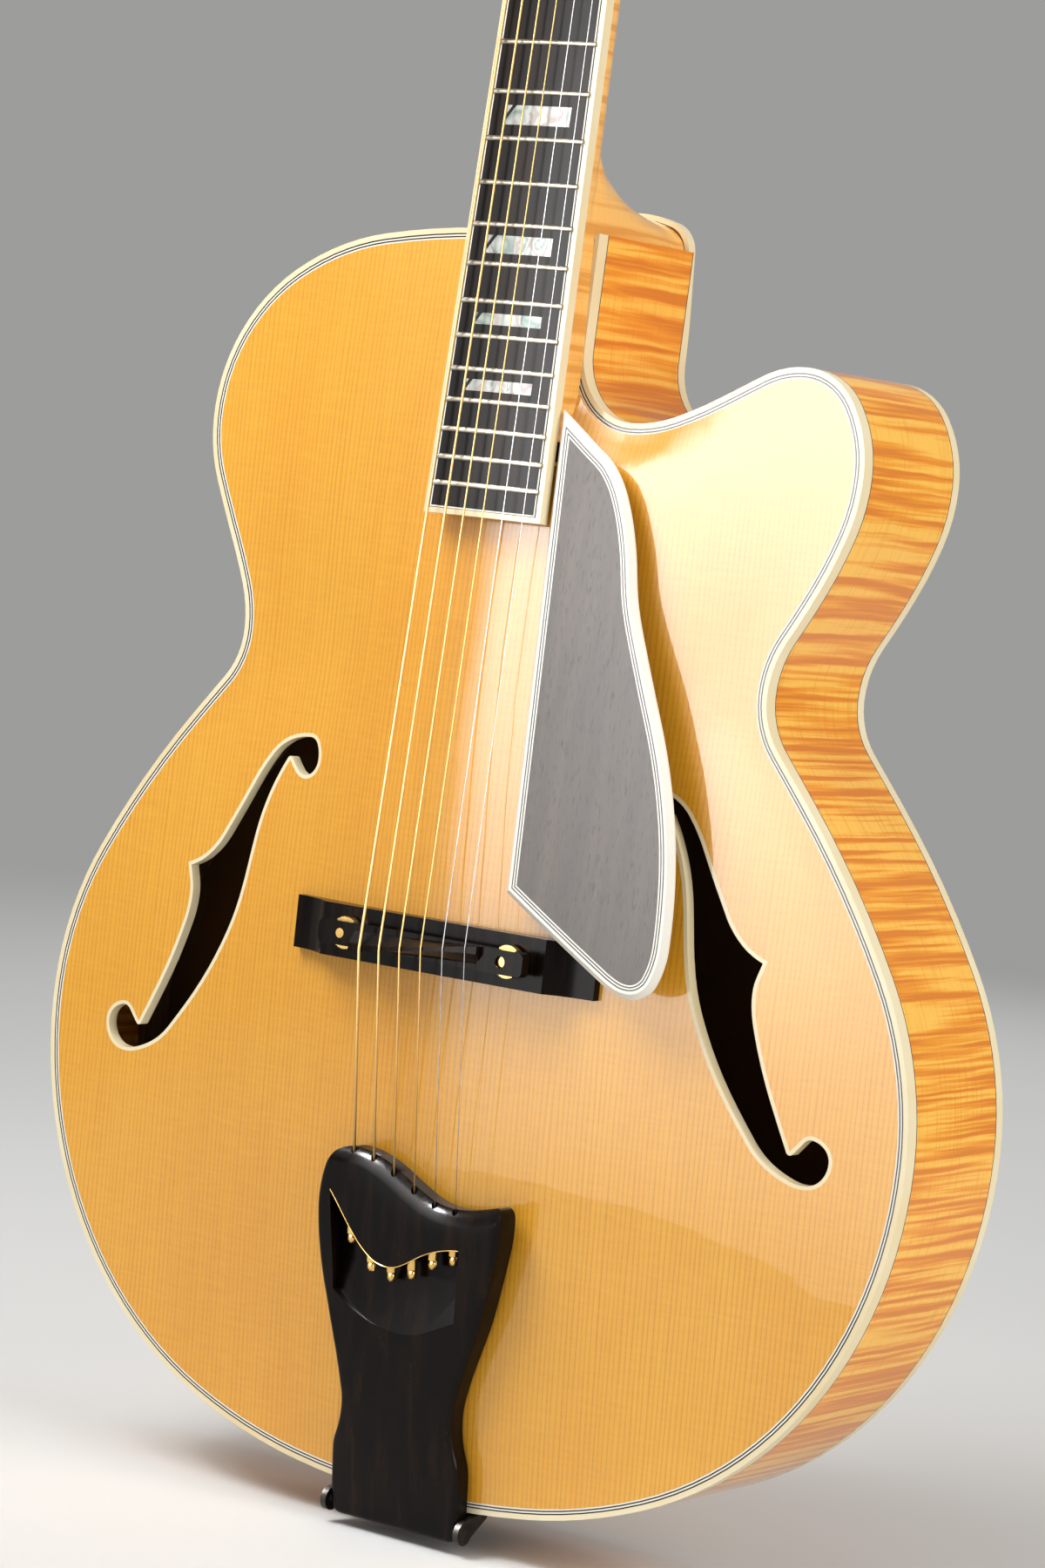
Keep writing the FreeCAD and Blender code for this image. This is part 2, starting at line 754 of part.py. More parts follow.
def tuner_places():
    """Side and post place of each tuner, from the lowest string to the highest."""
    steps = [POST_FIRST + k * POST_STEP for k in range(STRING_COUNT // 2)]
    return [(-1, z) for z in steps] + [(1, z) for z in reversed(steps)]


def head_screw_places():
    """Ear screws of the tuners, at the back, then the cover's screws, at the front."""
    ear_rise = GEAR_R + CASE_GAP + CASE_WALL + EAR_L / 2
    ears = [(s * POST_X, z + ear_rise) for s, z in tuner_places()]
    corner = COVER_HALF - COVER_SCREW_INSET
    low = COVER_LOW + COVER_SCREW_RISE
    cover = [(-corner, low), (corner, low), (0, COVER_L - 1.0)]
    return ears, cover


def head_screw(x, z, y, direction):
    """Dome-headed screw whose head sits at y and whose shank runs along the direction."""
    shank = rod(SCREW_R, V(x, y, z), V(x, y + direction * SCREW_L, z))
    head = Part.makeSphere(SCREW_HEAD_R, V(x, y, z), Y * -direction, 0, 90, 360)
    return shank.fuse(head)


def rod_axis(z):
    return V(0, BOARD_T + ROD_DEPTH, z)


def extension_block():
    """Wood under the part of the fingerboard that stands over the body, before it is fitted to the top."""
    body_z = fret_z(BODY_FRET)
    wood = board_slab(EXTENSION_TRIM, BOARD_T, BOARD_T + 30, body_z + 6, body_z - EXTENSION_L)
    return placed(wood, NECK)


def build_neck(top_skin):
    blank_half = lerp(HEAD_LOW_HALF, HEAD_MID_HALF, 0.15)
    root_z = 24.0
    joint_half = BOARD_NUT_W / 2
    body_z = fret_z(BODY_FRET)
    body_half = board_half(body_z)
    nut_end = round_section(joint_half, NECK_DEPTH_NUT, NECK_ROUND, shift(0, BOARD_T, NUT_T))
    heel_end = round_section(body_half - 0.3, NECK_DEPTH_HEEL, NECK_ROUND, shift(0, BOARD_T, body_z - 3))
    shaft = placed(Part.makeLoft([nut_end, heel_end], True, True), NECK)
    head_at = HEAD.multiply(shift(0, VENEER_T, root_z))
    neck_at = NECK.multiply(shift(0, BOARD_T + VENEER_T / 2, NUT_T - 6))
    head_root = round_section(blank_half, HEAD_T - VENEER_T, HEAD_ROUND, head_at)
    neck_root = round_section(joint_half, NECK_DEPTH_NUT - 0.6, NECK_ROUND, neck_at)
    root = Part.makeLoft([head_root, neck_root], True, True)
    blank = placed(prism(head_outline(root_z - 2, blank_half - 0.5), VENEER_T, HEAD_T), HEAD)
    heel_y = [BOARD_T - BOARD_HEIGHT, 0, 6, 12, 20, 30, 42, 54, 64, RIM_DEPTH - BACK_T]
    heel = Part.makeLoft([heel_section(y) for y in heel_y], True, False)
    below_body = box(-100, 100, -100, RIM_DEPTH + 50, 0, BODY_LENGTH)
    over_neck = placed(box(-100, 100, -100, BOARD_T, -BOARD_L, NUT_T), NECK)
    above = shaft.cut(below_body).fuse([root, blank, heel.cut(over_neck)])
    lap = below_body.copy()
    lap.translate(Z * JOINT_LAP)
    extension = extension_block().common(lap).cut(top_skin.extrude(V(0, RIM_DEPTH, 0)))
    neck = above.fuse([extension, neck_tenon()]).removeSplitter()

    # Bore for the rod, pocket for its nut, holes for tuners and screws
    rod_end = body_z + 10
    nut_z = NUT_T + ROD_NUT_GAP
    bore = rod(ROD_R, rod_axis(rod_end), rod_axis(nut_z))
    reach = ROD_NUT_R + ROD_POCKET_GAP
    pocket_y = (BOARD_T - 3, BOARD_T + ROD_DEPTH + reach)
    pocket = box(-reach, reach, *pocket_y, nut_z - 1, nut_z + ROD_NUT_L + ROD_POCKET_GAP + 4)
    pocket = placed(pocket, NECK)
    ears, cover = head_screw_places()
    ear_deep = HEAD_T + CASE_WALL - SCREW_L
    holes = [rod(BUSH_R, V(s * POST_X, -5, z), V(s * POST_X, HEAD_T + 5, z)) for s, z in tuner_places()]
    holes += [rod(SCREW_R, V(x, ear_deep, z), V(x, HEAD_T + 5, z)) for x, z in ears]
    holes += [rod(SCREW_R, V(x, -5, z), V(x, SCREW_L - COVER_T, z)) for x, z in cover]
    holes = placed(Part.makeCompound(holes), HEAD)
    save("neck", neck.cut(placed(bore, NECK)).cut(pocket).cut(holes))

    veneer = prism(head_outline(1.0, joint_half), 0, VENEER_T)
    save("headstock_veneer", placed(veneer, HEAD).cut(holes).cut(pocket))
    save("truss_rod", placed(rod(ROD_R, rod_axis(nut_z + ROD_NUT_L - 2), rod_axis(rod_end)), NECK))
    hexagon = [heading(60 * k) * ROD_NUT_R for k in range(6)]
    nut = slab([V(p.x, p.z, 0) for p in hexagon], V(0, 0, ROD_NUT_L))
    nut = nut.cut(rod(ROD_R + RUN_GAP, V(0, 0, -1), V(0, 0, ROD_NUT_L + 1)))
    nut.translate(rod_axis(nut_z))
    save("truss_rod_nut", placed(nut, NECK))


def build_nut(routes):
    """Nut in the neck frame, with a slot along each string that turns with it towards its post."""
    half = BOARD_NUT_W / 2
    nut = box(-half, half, -NUT_OVER, BOARD_T, 0, NUT_T).common(barrel(NUT_STRING_H + NUT_LIP))
    to_neck = NECK.inverse()
    for diameter, (points, turns) in zip(STRING_D, routes):
        point = to_neck.multVec(points[2])
        leave = to_neck.multVec(points[3]) - point
        bend = leave.getAngle(Z)
        sag = STRING_BEND_R * (1 / math.cos(bend / 2) - 1)
        reach = diameter / 2 + STRING_GAP
        floor = point.y + reach + sag
        end = NUT_T + 1
        run = (end - point.z) / leave.z
        side = V(point.x - reach, 0, 0)
        top = -NUT_OVER - NUT_LIP
        straight = [V(0, top, -1), V(0, floor, -1), V(0, floor, point.z), V(0, top, point.z)]
        after = leave * run
        turned = [
            V(0, top, point.z),
            V(0, floor, point.z),
            V(after.x, floor + after.y, end),
            V(after.x, top, end),
        ]
        for plan in (straight, turned):
            nut = nut.cut(slab([side + p for p in plan], X * (2 * reach)))
    save("nut", placed(nut, NECK))


def build_cover():
    """Rod cover and the small screws of the headstock."""
    low = COVER_LOW
    nodes = [
        (-COVER_HALF, low, 90),
        (-COVER_HALF * 0.45, COVER_L - 6, 78),
        (0, COVER_L + 3, 0),
        (COVER_HALF * 0.45, COVER_L - 6, 282),
        (COVER_HALF, low, 270),
        (COVER_HALF, low, 180),
        (-COVER_HALF, low, 180),
    ]
    ears, cover = head_screw_places()
    holes = [rod(SCREW_R, V(x, -5, z), V(x, 1, z)) for x, z in cover]
    plate = prism(smooth_wire(nodes), -COVER_T, 0).cut(Part.makeCompound(holes))
    save("truss_rod_cover", placed(plate, HEAD))
    screws = [head_screw(x, z, HEAD_T + CASE_WALL, -1) for x, z in ears]
    screws += [head_screw(x, z, -COVER_T, 1) for x, z in cover]
    save("headstock_screws", placed(Part.makeCompound(screws), HEAD))


# Tuners, in the headstock frame
def toothed_disc(teeth, outer, root, thickness):
    """Disc with straight-sided teeth round +y, starting at the origin."""
    points = []
    pitch = 360 / teeth
    for k in range(teeth):
        for radius, share in ((root, 0.0), (root, 0.30), (outer, 0.42), (outer, 0.88)):
            points.append(heading((k + share) * pitch) * radius)
    return slab(points, V(0, thickness, 0))


def worm_place(side, z):
    return V(side * POST_X, HEAD_T + 1 + GEAR_T / 2, z - GEAR_R - WORM_R - MESH_GAP)


def tuner_post(side, z):
    axis = V(side * POST_X, 0, z)
    gear = toothed_disc(GEAR_TEETH, GEAR_R, GEAR_ROOT_R, GEAR_T)
    gear.translate(axis + V(0, HEAD_T + 1, 0))
    stem = rod(POST_R, axis + V(0, -POST_OUT, 0), axis + V(0, HEAD_T + GEAR_T + 1.4, 0))
    cap = rod(POST_R + 0.5, axis + V(0, -POST_OUT - 1.5, 0), axis + V(0, -POST_OUT, 0))
    return stem.fuse([gear, cap]).removeSplitter()


def tuner_button(side, z):
    worm = worm_place(side, z)
    edge = side * (HEAD_TOP_HALF + BUTTON_GAP)
    centre = edge + side * BUTTON_L / 2
    nodes = [
        (centre - BUTTON_L / 2, worm.z, 90),
        (centre, worm.z + BUTTON_H / 2, 0),
        (centre + BUTTON_L / 2, worm.z, 270),
        (centre, worm.z - BUTTON_H / 2, 180),
    ]
    y0 = worm.y - BUTTON_T / 2
    knob = prism(smooth_wire(nodes), y0, y0 + BUTTON_T)
    rims = [e for e in knob.Edges if abs(e.BoundBox.YLength) < 1e-3]
    knob = knob.makeFillet(BUTTON_T * 0.4, rims)
    shaft = rod(SHAFT_R, worm, V(edge + side * 3, worm.y, worm.z))
    collar = rod(SHAFT_R * 1.7, V(edge - side * 3, worm.y, worm.z), V(edge + side * 2, worm.y, worm.z))
    thread = rod(WORM_R, worm - X * (WORM_L / 2), worm + X * (WORM_L / 2))
    return knob.fuse([shaft, collar, thread]).removeSplitter()


def tuner_housing(side, z):
    worm = worm_place(side, z)
    half = max(GEAR_R, WORM_L / 2) + CASE_GAP
    x = side * POST_X
    low = worm.z - WORM_R - CASE_GAP
    high = z + GEAR_R + CASE_GAP
    back = HEAD_T + GEAR_T + 2
    w = CASE_WALL
    shell = box(x - half - w, x + half + w, HEAD_T, back + w, low - w, high + w)
    outside = [e for e in shell.Edges if e.BoundBox.YMax > HEAD_T + 0.1]
    shell = shell.makeFillet(w, outside)
    ear = box(x - EAR_HALF, x + EAR_HALF, HEAD_T, HEAD_T + CASE_WALL, high, high + w + EAR_L)
    shell = shell.fuse(ear).cut(box(x - half, x + half, HEAD_T - 1, back, low, high))
    shaft_hole = rod(SHAFT_R + RUN_GAP, worm, worm + X * (side * (half + w + 1)))
    ear_z = high + w + EAR_L / 2
    screw_hole = rod(SCREW_R, V(x, HEAD_T - 1, ear_z), V(x, back, ear_z))
    return shell.cut(shaft_hole).cut(screw_hole)


def tuner_bushing(side, z):
    axis = V(side * POST_X, 0, z)
    tube = rod(BUSH_R, axis - Y * BUSH_FLANGE_T, axis + Y * HEAD_T)
    flange = rod(BUSH_FLANGE_R, axis - Y * BUSH_FLANGE_T, axis)
    bore = rod(POST_R + RUN_GAP, axis - Y * 5, axis + Y * (HEAD_T + 5))
    return tube.fuse(flange).cut(bore)


def build_tuners():
    for number, (side, z) in enumerate(tuner_places(), 1):
        save("tuner_%d_post" % number, placed(tuner_post(side, z), HEAD))
        save("tuner_%d_button" % number, placed(tuner_button(side, z), HEAD))
    cases = [tuner_housing(side, z) for side, z in tuner_places()]
    bushings = [tuner_bushing(side, z) for side, z in tuner_places()]
    save("tuner_housings", placed(Part.makeCompound(cases), HEAD))
    save("tuner_bushings", placed(Part.makeCompound(bushings), HEAD))


# Bridge
def saddle_crest(x):
    """Place of the saddle's crest across the bridge: height above the rim plane, and z."""
    t = (x + SADDLE_BLADE_HALF) / (2 * SADDLE_BLADE_HALF)
    return SADDLE_TOP - x * x / (2 * BOARD_RADIUS), BRIDGE_Z + lerp(CREST_BASS, CREST_TREBLE, t)


def build_bridge(arch, top_skin):
    tip = arch.share(BRIDGE_HALF, BRIDGE_Z) * TOP_RISE + BASE_TIP_T
    low_z = BRIDGE_Z - BRIDGE_W / 2
    edges = []
    corners = []
    for s in (-1, 1):
        end = V(s * BRIDGE_HALF, -tip, low_z)
        step = V(s * BASE_FLAT_HALF, -BASE_TOP, low_z)
        sag = V(s * lerp(BASE_FLAT_HALF, BRIDGE_HALF, 0.45), -lerp(BASE_TOP, tip, 0.72), low_z)
        edges.append(Part.Arc(end, sag, step).toShape())
        corners.append((V(s * BRIDGE_HALF, 0, low_z), end, step))
    left, right = corners
    for a, b in ((left[0], left[1]), (left[2], right[2]), (right[1], right[0]), (right[0], left[0])):
        edges.append(Part.LineSegment(a, b).toShape())
    profile = Part.Face(Part.Wire(Part.__sortEdges__(edges)))
    base = profile.extrude(V(0, 0, BRIDGE_W)).cut(top_skin.extrude(V(0, RIM_DEPTH, 0)))
    studs = []
    for s in (-1, 1):
        foot = V(s * STUD_X, STUD_SINK - BASE_TOP, BRIDGE_Z)
        base = base.cut(rod(STUD_R, foot, V(s * STUD_X, -STUD_TOP, BRIDGE_Z)))
        studs.append(rod(STUD_R, foot, V(s * STUD_X, -STUD_TOP, BRIDGE_Z)))
    save("bridge_base", base)
    save("bridge_studs", Part.makeCompound(studs))

    wheel_low = BASE_TOP + WHEEL_DROP
    for name, s in (("thumbwheel_bass", -1), ("thumbwheel_treble", 1)):
        wheel = toothed_disc(WHEEL_TEETH, WHEEL_R, WHEEL_R * 0.95, WHEEL_T)
        wheel.translate(V(s * STUD_X, -wheel_low - WHEEL_T, BRIDGE_Z))
        bore = rod(STUD_R + RUN_GAP, V(s * STUD_X, 0, BRIDGE_Z), V(s * STUD_X, -2 * STUD_TOP, BRIDGE_Z))
        save(name, wheel.cut(bore))

    floor = WHEEL_TOP + RUN_GAP
    w = SADDLE_W / 2
    span = (BRIDGE_Z - w, BRIDGE_Z + w)
    bar = box(-SADDLE_HALF, SADDLE_HALF, -WHEEL_TOP - SADDLE_TAB_T, -floor, *span)
    block = box(SADDLE_BLADE_HALF - 1, SADDLE_HALF, -WHEEL_TOP - SADDLE_BLOCK_T, -floor, *span)
    sections = []
    for x in (-SADDLE_BLADE_HALF - 2, SADDLE_BLADE_HALF):
        crest = saddle_crest(x)[1]
        sections.append(polygon([
            V(x, -floor - BLADE_SINK, BRIDGE_Z - w + BLADE_INSET),
            V(x, -floor - BLADE_SINK, BRIDGE_Z + w - BLADE_INSET),
            V(x, -SADDLE_TOP, crest + CREST_W / 2),
            V(x, -SADDLE_TOP, crest - CREST_W / 2),
        ]))
    blade = Part.makeLoft(sections, True, True).common(barrel(0, -SADDLE_TOP, 0, BODY_LENGTH))
    saddle = bar.fuse([block, blade]).removeSplitter()
    ends = [e for e in saddle.Edges if abs(e.CenterOfMass.x) > SADDLE_HALF - 0.1]
    saddle = saddle.makeFillet(w * 0.5, [e for e in ends if e.BoundBox.YLength > 2])
    for s in (-1, 1):
        foot = V(s * STUD_X, 0, BRIDGE_Z)
        saddle = saddle.cut(rod(STUD_R + STUD_HOLE_GAP, foot, foot - Y * (2 * STUD_TOP)))
    save("bridge_saddle", saddle)


# Tailpiece
def tail_outline():
    foot = TAIL_FOOT_HALF
    return smooth_wire([
        (-42.6, 117.0, 90),
        *TAIL_CREST,
        (49.8, 128.4, 272),
        (45.8, 102.0, 257),
        (38.6, 75.8, 250),
        (29.6, 49.0, 256),
        (28.4, 37.0, 272),
        (foot - 1.2, 23.0, 290),
        (foot, 12.0, 270),
        (foot, -6.0, 270),
        (foot - 5.0, -11.0, 180),
        (5.0 - foot, -11.0, 180),
        (-foot, -6.0, 90),
        (-foot, 12.0, 90),
        (1.2 - foot, 23.0, 70),
        (-28.4, 37.0, 88),
        (-30.2, 50.0, 101),
        (-36.0, 74.7, 103),
        (-40.4, 94.0, 100),
    ])


def pocket_outline():
    return smooth_wire([
        (-35.5, 126.0, 308),
        (-21.5, 107.5, 311),
        (-6.0, 98.6, 0),
        (8.0, 104.2, 33),
        (30.5, 112.0, 5),
        (30.5, 112.0, 266),
        (29.0, 81.5, 267),
        (29.0, 81.5, 205),
        (1.0, 71.8, 180),
        (-33.0, 84.5, 140),
        (-33.0, 84.5, 92),
        (-35.5, 126.0, 92),
    ])


def tail_front(z):
    return -TAIL_FRONT - TAIL_FRONT_SLOPE * z


def tail_under(z):
    return -TAIL_UNDER - TAIL_UNDER_SLOPE * z


def crest_roll():
    """Cutter that rounds the tailpiece's curved upper edge, and runs straight off over both its ends."""
    lean = math.atan(TAIL_FRONT_SLOPE)
    stops = [(V(x, 0, z / math.cos(lean)), heading(a)) for x, z, a in TAIL_CREST]
    run = 4 * CREST_R
    first = stops[0][0] - stops[0][1] * run
    path = [Part.makeLine(first, stops[0][0])]
    for here, there in zip(stops, stops[1:]):
        path += biarc(*here, *there)
    path.append(Part.makeLine(stops[-1][0], stops[-1][0] + stops[-1][1] * run))

    def corner(inward, deep):
        return first + V(0, deep, -inward)

    reach = CREST_R - CREST_LAP
    middle = reach - CREST_R * math.sqrt(0.5)
    rim = [
        corner(-CREST_LAP, reach),
        corner(-CREST_CLEAR, reach),
        corner(-CREST_CLEAR, -CREST_CLEAR),
        corner(reach, -CREST_CLEAR),
        corner(reach, -CREST_LAP),
    ]
    sides = [Part.makeLine(a, b) for a, b in zip(rim, rim[1:])]
    bow = Part.Arc(rim[-1], corner(middle, middle), rim[0]).toShape()
    roll = Part.Wire(path).makePipeShell([Part.Wire([bow] + sides)], True, False)
    roll.Placement = FreeCAD.Placement(V(0, -TAIL_FRONT, 0), FreeCAD.Rotation(X, math.degrees(lean)))
    return roll


def string_slope():
    """Fall of the strings between the saddle and the tailpiece's hinge, which they pull in line with."""
    return (SADDLE_TOP + HINGE_Y) / (BRIDGE_Z - HINGE_Z)


def string_spread(step, i):
    return (i - (STRING_COUNT - 1) / 2) * step


def pocket_wall(x):
    """Height of the pocket's curved upper edge."""
    return max(p.z for p in pocket_outline().discretize(Distance=0.3) if abs(p.x - x) < 0.5)


def anchor(i):
    """Point where a string's ball end sits against its ferrule, below the pocket's wall all across."""
    x = string_spread(STRING_TAIL_STEP, i)
    z = min(pocket_wall(x + s * BALL_R) for s in (-1, 0, 1)) - FERRULE_OUT
    return V(x, HINGE_Y - string_slope() * (z - HINGE_Z), z)


def cross_slab(outline):
    """Wide slab across the instrument from an outline of (y, z) points."""
    wide = 3 * TAIL_FOOT_HALF
    return slab([V(-wide, y, z) for y, z in outline], X * (2 * wide))


def bracket_screw_places():
    return [(s * BRACKET_SCREW_X, BRACKET_SCREW_Y) for s in (-1, 1)]


def tail_z(x):
    """Height of the body's tail edge at a distance from the centreline."""
    return min(p.z for p in front_outline().discretize(Distance=0.5) if abs(p.x - x) < 0.6)


def build_tailpiece(runs):
    tall = (-60, 30)
    high = 200.0
    low = -40.0
    wedge = cross_slab([
        (tail_front(low), low),
        (tail_under(low), low),
        (tail_under(high), high),
        (tail_front(high), high),
    ])
    body = prism(tail_outline(), *tall).common(wedge)
    rims = [e for e in body.Edges if all(abs(v.Y - tail_front(v.Z)) < 1e-3 for v in e.Vertexes)]
    body = body.makeFillet(TAIL_EDGE_R, rims).cut(crest_roll())
    scoop = cross_slab([
        (tall[0], POCKET_FOOT_Z),
        (tail_front(POCKET_FOOT_Z), POCKET_FOOT_Z),
        (tail_under(POCKET_DEEP_Z) - POCKET_FLOOR_T, POCKET_DEEP_Z),
        (tail_under(high) - POCKET_FLOOR_T, high),
        (tall[0], high),
    ])
    body = body.cut(prism(pocket_outline(), *tall).common(scoop))
    ferrules = []
    for diameter, start, end in runs:
        along = (end - start).normalize()
        body = body.cut(rod(max(STRING_D) / 2 + TUNNEL_GAP, start, end))
        sleeve = rod(FERRULE_R, start, start + along * FERRULE_L)
        body = body.cut(sleeve)
        ferrules.append(sleeve.cut(rod(max(STRING_D) / 2 + TUNNEL_GAP, start - along, end)))
    pin = V(0, HINGE_Y, HINGE_Z)
    ear_in = TAIL_FOOT_HALF + TAIL_SIDE_GAP
    ear_out = ear_in + BRACKET_EAR_T
    body = body.cut(rod(HINGE_R + RUN_GAP, pin - X * (2 * ear_out), pin + X * (2 * ear_out)))
    save("tailpiece", body)
    save("tailpiece_ferrules", Part.makeCompound(ferrules))

    # Bracket round the tail, with an ear at each end of the hinge pin
    outline = front_outline()
    plate_y = (BRACKET_FRONT_Y, PIN_Y + BRACKET_BACK)
    band = prism(inset(outline, -BRACKET_T), *plate_y).cut(prism(outline, *plate_y))
    bracket = band.common(box(-ear_out, ear_out, *plate_y, -10, 10))
    web_top = tail_z(ear_in) - BRACKET_T / 4
    for s in (-1, 1):
        x0 = min(s * ear_in, s * ear_out)
        ear = rod(BRACKET_EAR_R, V(x0, HINGE_Y, HINGE_Z), V(x0 + BRACKET_EAR_T, HINGE_Y, HINGE_Z))
        web = [
            (HINGE_Y, HINGE_Z - BRACKET_EAR_R),
            (HINGE_Y, HINGE_Z + BRACKET_EAR_R),
            (BRACKET_FRONT_Y, web_top),
            (BRACKET_WEB_Y, web_top),
            (BRACKET_WEB_Y, web_top - BRACKET_T),
        ]
        web = slab([V(x0, y, z) for y, z in web], X * BRACKET_EAR_T)
        bracket = bracket.fuse([ear, web])
    holes = [rod(SCREW_R, V(x, y, -5), V(x, y, 5)) for x, y in bracket_screw_places()]
    holes.append(rod(PIN_SHANK_R, V(0, PIN_Y, -5), V(0, PIN_Y, 5)))
    holes.append(rod(HINGE_R, pin - X * (2 * ear_out), pin + X * (2 * ear_out)))
    save("tailpiece_bracket", bracket.removeSplitter().cut(Part.makeCompound(holes)))
    save("tailpiece_hinge_pin", rod(HINGE_R, pin - X * ear_out, pin + X * ear_out))
    screws = []
    for x, y in bracket_screw_places():
        seat = tail_z(x) - BRACKET_T - SCREW_SEAT_GAP
        head = Part.makeSphere(SCREW_HEAD_R, V(x, y, seat), -Z, 0, 90, 360)
        screws.append(rod(SCREW_R, V(x, y, seat), V(x, y, SCREW_L - BRACKET_T)).fuse(head))
    save("bracket_screws", Part.makeCompound(screws))

    # End pin through the bracket and the rim
    seat = -BRACKET_T
    flange = rod(PIN_FLANGE_R, V(0, PIN_Y, seat - PIN_FLANGE_T), V(0, PIN_Y, seat))
    neck = rod(PIN_NECK_R, V(0, PIN_Y, seat - PIN_FLANGE_T - PIN_NECK_L), V(0, PIN_Y, seat))
    head_top = seat - PIN_FLANGE_T - PIN_NECK_L
    head = rod(PIN_R, V(0, PIN_Y, head_top - PIN_HEAD_L), V(0, PIN_Y, head_top))
    shank = rod(PIN_SHANK_R, V(0, PIN_Y, seat), V(0, PIN_Y, PIN_SHANK_L))
    save("end_pin", shank.fuse([flange, neck, head]).removeSplitter())


# Strings
def bent_path(points, radius):
    """Straight runs between points, joined by tangent arcs."""
    edges = []
    here = points[0]
    for before, corner, after in zip(points, points[1:], points[2:]):
        come = (corner - before).normalize()
        go = (after - corner).normalize()
        turn = math.acos(min(1.0, come.dot(go)))
        cut = radius * math.tan(turn / 2)
        start = corner - come * cut
        edges.append(Part.LineSegment(here, start).toShape())
        here = corner + go * cut
        edges.append(arc_edge(start, come, here))
    return edges, here, (points[-1] - points[-2]).normalize()


def tube(edges, radius):
    """Round tube along joined edges."""
    path = Part.Wire(edges)
    start = path.OrderedVertexes[0].Point
    leave = path.OrderedEdges[0].tangentAt(path.OrderedEdges[0].FirstParameter)
    ring_wire = Part.Wire(Part.makeCircle(radius, start, leave))
    pipe = Part.BRepOffsetAPI.MakePipeShell(path)
    pipe.add(ring_wire)
    pipe.build()
    pipe.makeSolid()
    solid = pipe.shape()
    ideal = math.pi * radius * radius * path.Length
    print("  tube length", round(path.Length, 1), "volume share", round(solid.Volume / ideal, 4))
    return solid


def nut_point(i):
    """Centre of a string over the nut, in the neck frame."""
    x = string_spread(STRING_NUT_STEP, i)
    return V(x, x * x / (2 * BOARD_RADIUS) - NUT_STRING_H - STRING_D[i] / 2, NUT_T * 0.2)


def saddle_point(i):
    x = string_spread(STRING_SADDLE_STEP, i)
    height, z = saddle_crest(x)
    return V(x, -height - STRING_D[i] / 2 - SADDLE_GAP, z)


def winding(i):
    """First point of the winding on a post, and the edges of its turns, in the headstock frame."""
    side, post_z = tuner_places()[i]
    radius = POST_R + WIND_POST_GAP + STRING_D[i] / 2
    pitch = STRING_D[i] + WIND_GAP
    spin = -side
    start = HEAD.inverse().multVec(NECK.multVec(nut_point(i)))
    dx = side * POST_X - start.x
    dz = post_z - start.z
    reach = math.hypot(dx, dz)
    aim = math.atan2(dz, dx) - spin * math.asin(radius / reach)
    run = math.sqrt(reach * reach - radius * radius)
    touch = V(start.x + run * math.cos(aim), -WIND_START, start.z + run * math.sin(aim))
    angle = math.atan2(touch.z - post_z, touch.x - side * POST_X)

    def at(quarters):
        a = angle + spin * quarters * math.pi / 2
        out = -WIND_START - pitch * quarters / 4
        point = V(side * POST_X + radius * math.cos(a), out, post_z + radius * math.sin(a))
        leave = V(-spin * radius * math.sin(a), -pitch / (2 * math.pi), spin * radius * math.cos(a))
        return point, leave.normalize()

    edges = []
    here = touch
    leave = (touch - start).normalize()
    for quarter in range(1, 4 * WIND_TURNS + 1):
        there, arrive = at(quarter)
        edges += biarc(here, leave, there, arrive)
        here = there
        leave = arrive
    edges.append(Part.LineSegment(here, here + leave * STRING_TAIL_END).toShape())
    gaps = []
    for k in range(24 * (WIND_TURNS - 1)):
        low = at(k / 6)[0]
        gaps.append(min(low.distanceToPoint(at((k + 24 + j) / 6)[0]) for j in range(-6, 7)) - STRING_D[i])
    print("  winding", i + 1, "least gap", round(min(gaps), 3))
    return touch, edges


def string_run(i):
    """Ball end, saddle, nut and start of the winding, in the body frame, with the winding's edges."""
    touch, turns = winding(i)
    points = [anchor(i), saddle_point(i), NECK.multVec(nut_point(i)), HEAD.multVec(touch)]
    return points, [placed(e, HEAD) for e in turns]


def build_strings(routes):
    runs = []
    for i, diameter in enumerate(STRING_D):
        points, turns = routes[i]
        edges, here, leave = bent_path(points, STRING_BEND_R)
        edges.append(Part.LineSegment(here, points[-1]).toShape())
        string = tube(edges + turns, diameter / 2)
        along = (points[1] - points[0]).normalize()
        ball = rod(BALL_R, points[0] - along * (BALL_L + STRING_GAP), points[0] - along * STRING_GAP)
        save("string_%d" % (STRING_COUNT - i), Part.makeCompound([string, ball]))
        runs.append((diameter, points[0], points[0] + (points[1] - points[0]) * 0.6))
    return runs


# Pickguard
def guard_outline():
    return smooth_wire([
        (29.3, 455.2, 271.7),
        (35.0, 259.5, 271.7),
        (35.0, 259.5, 329),
        (86.0, 230.0, 331),
        (101.0, 225.7, 5),
        (114.6, 248.0, 90),
        (108.5, 299.0, 104),
        (80.9, 371.5, 112),
        (69.8, 412.2, 109),
        (58.5, 433.5, 131),
        (45.0, 444.0, 144),
        (29.3, 455.2, 145),
    ])


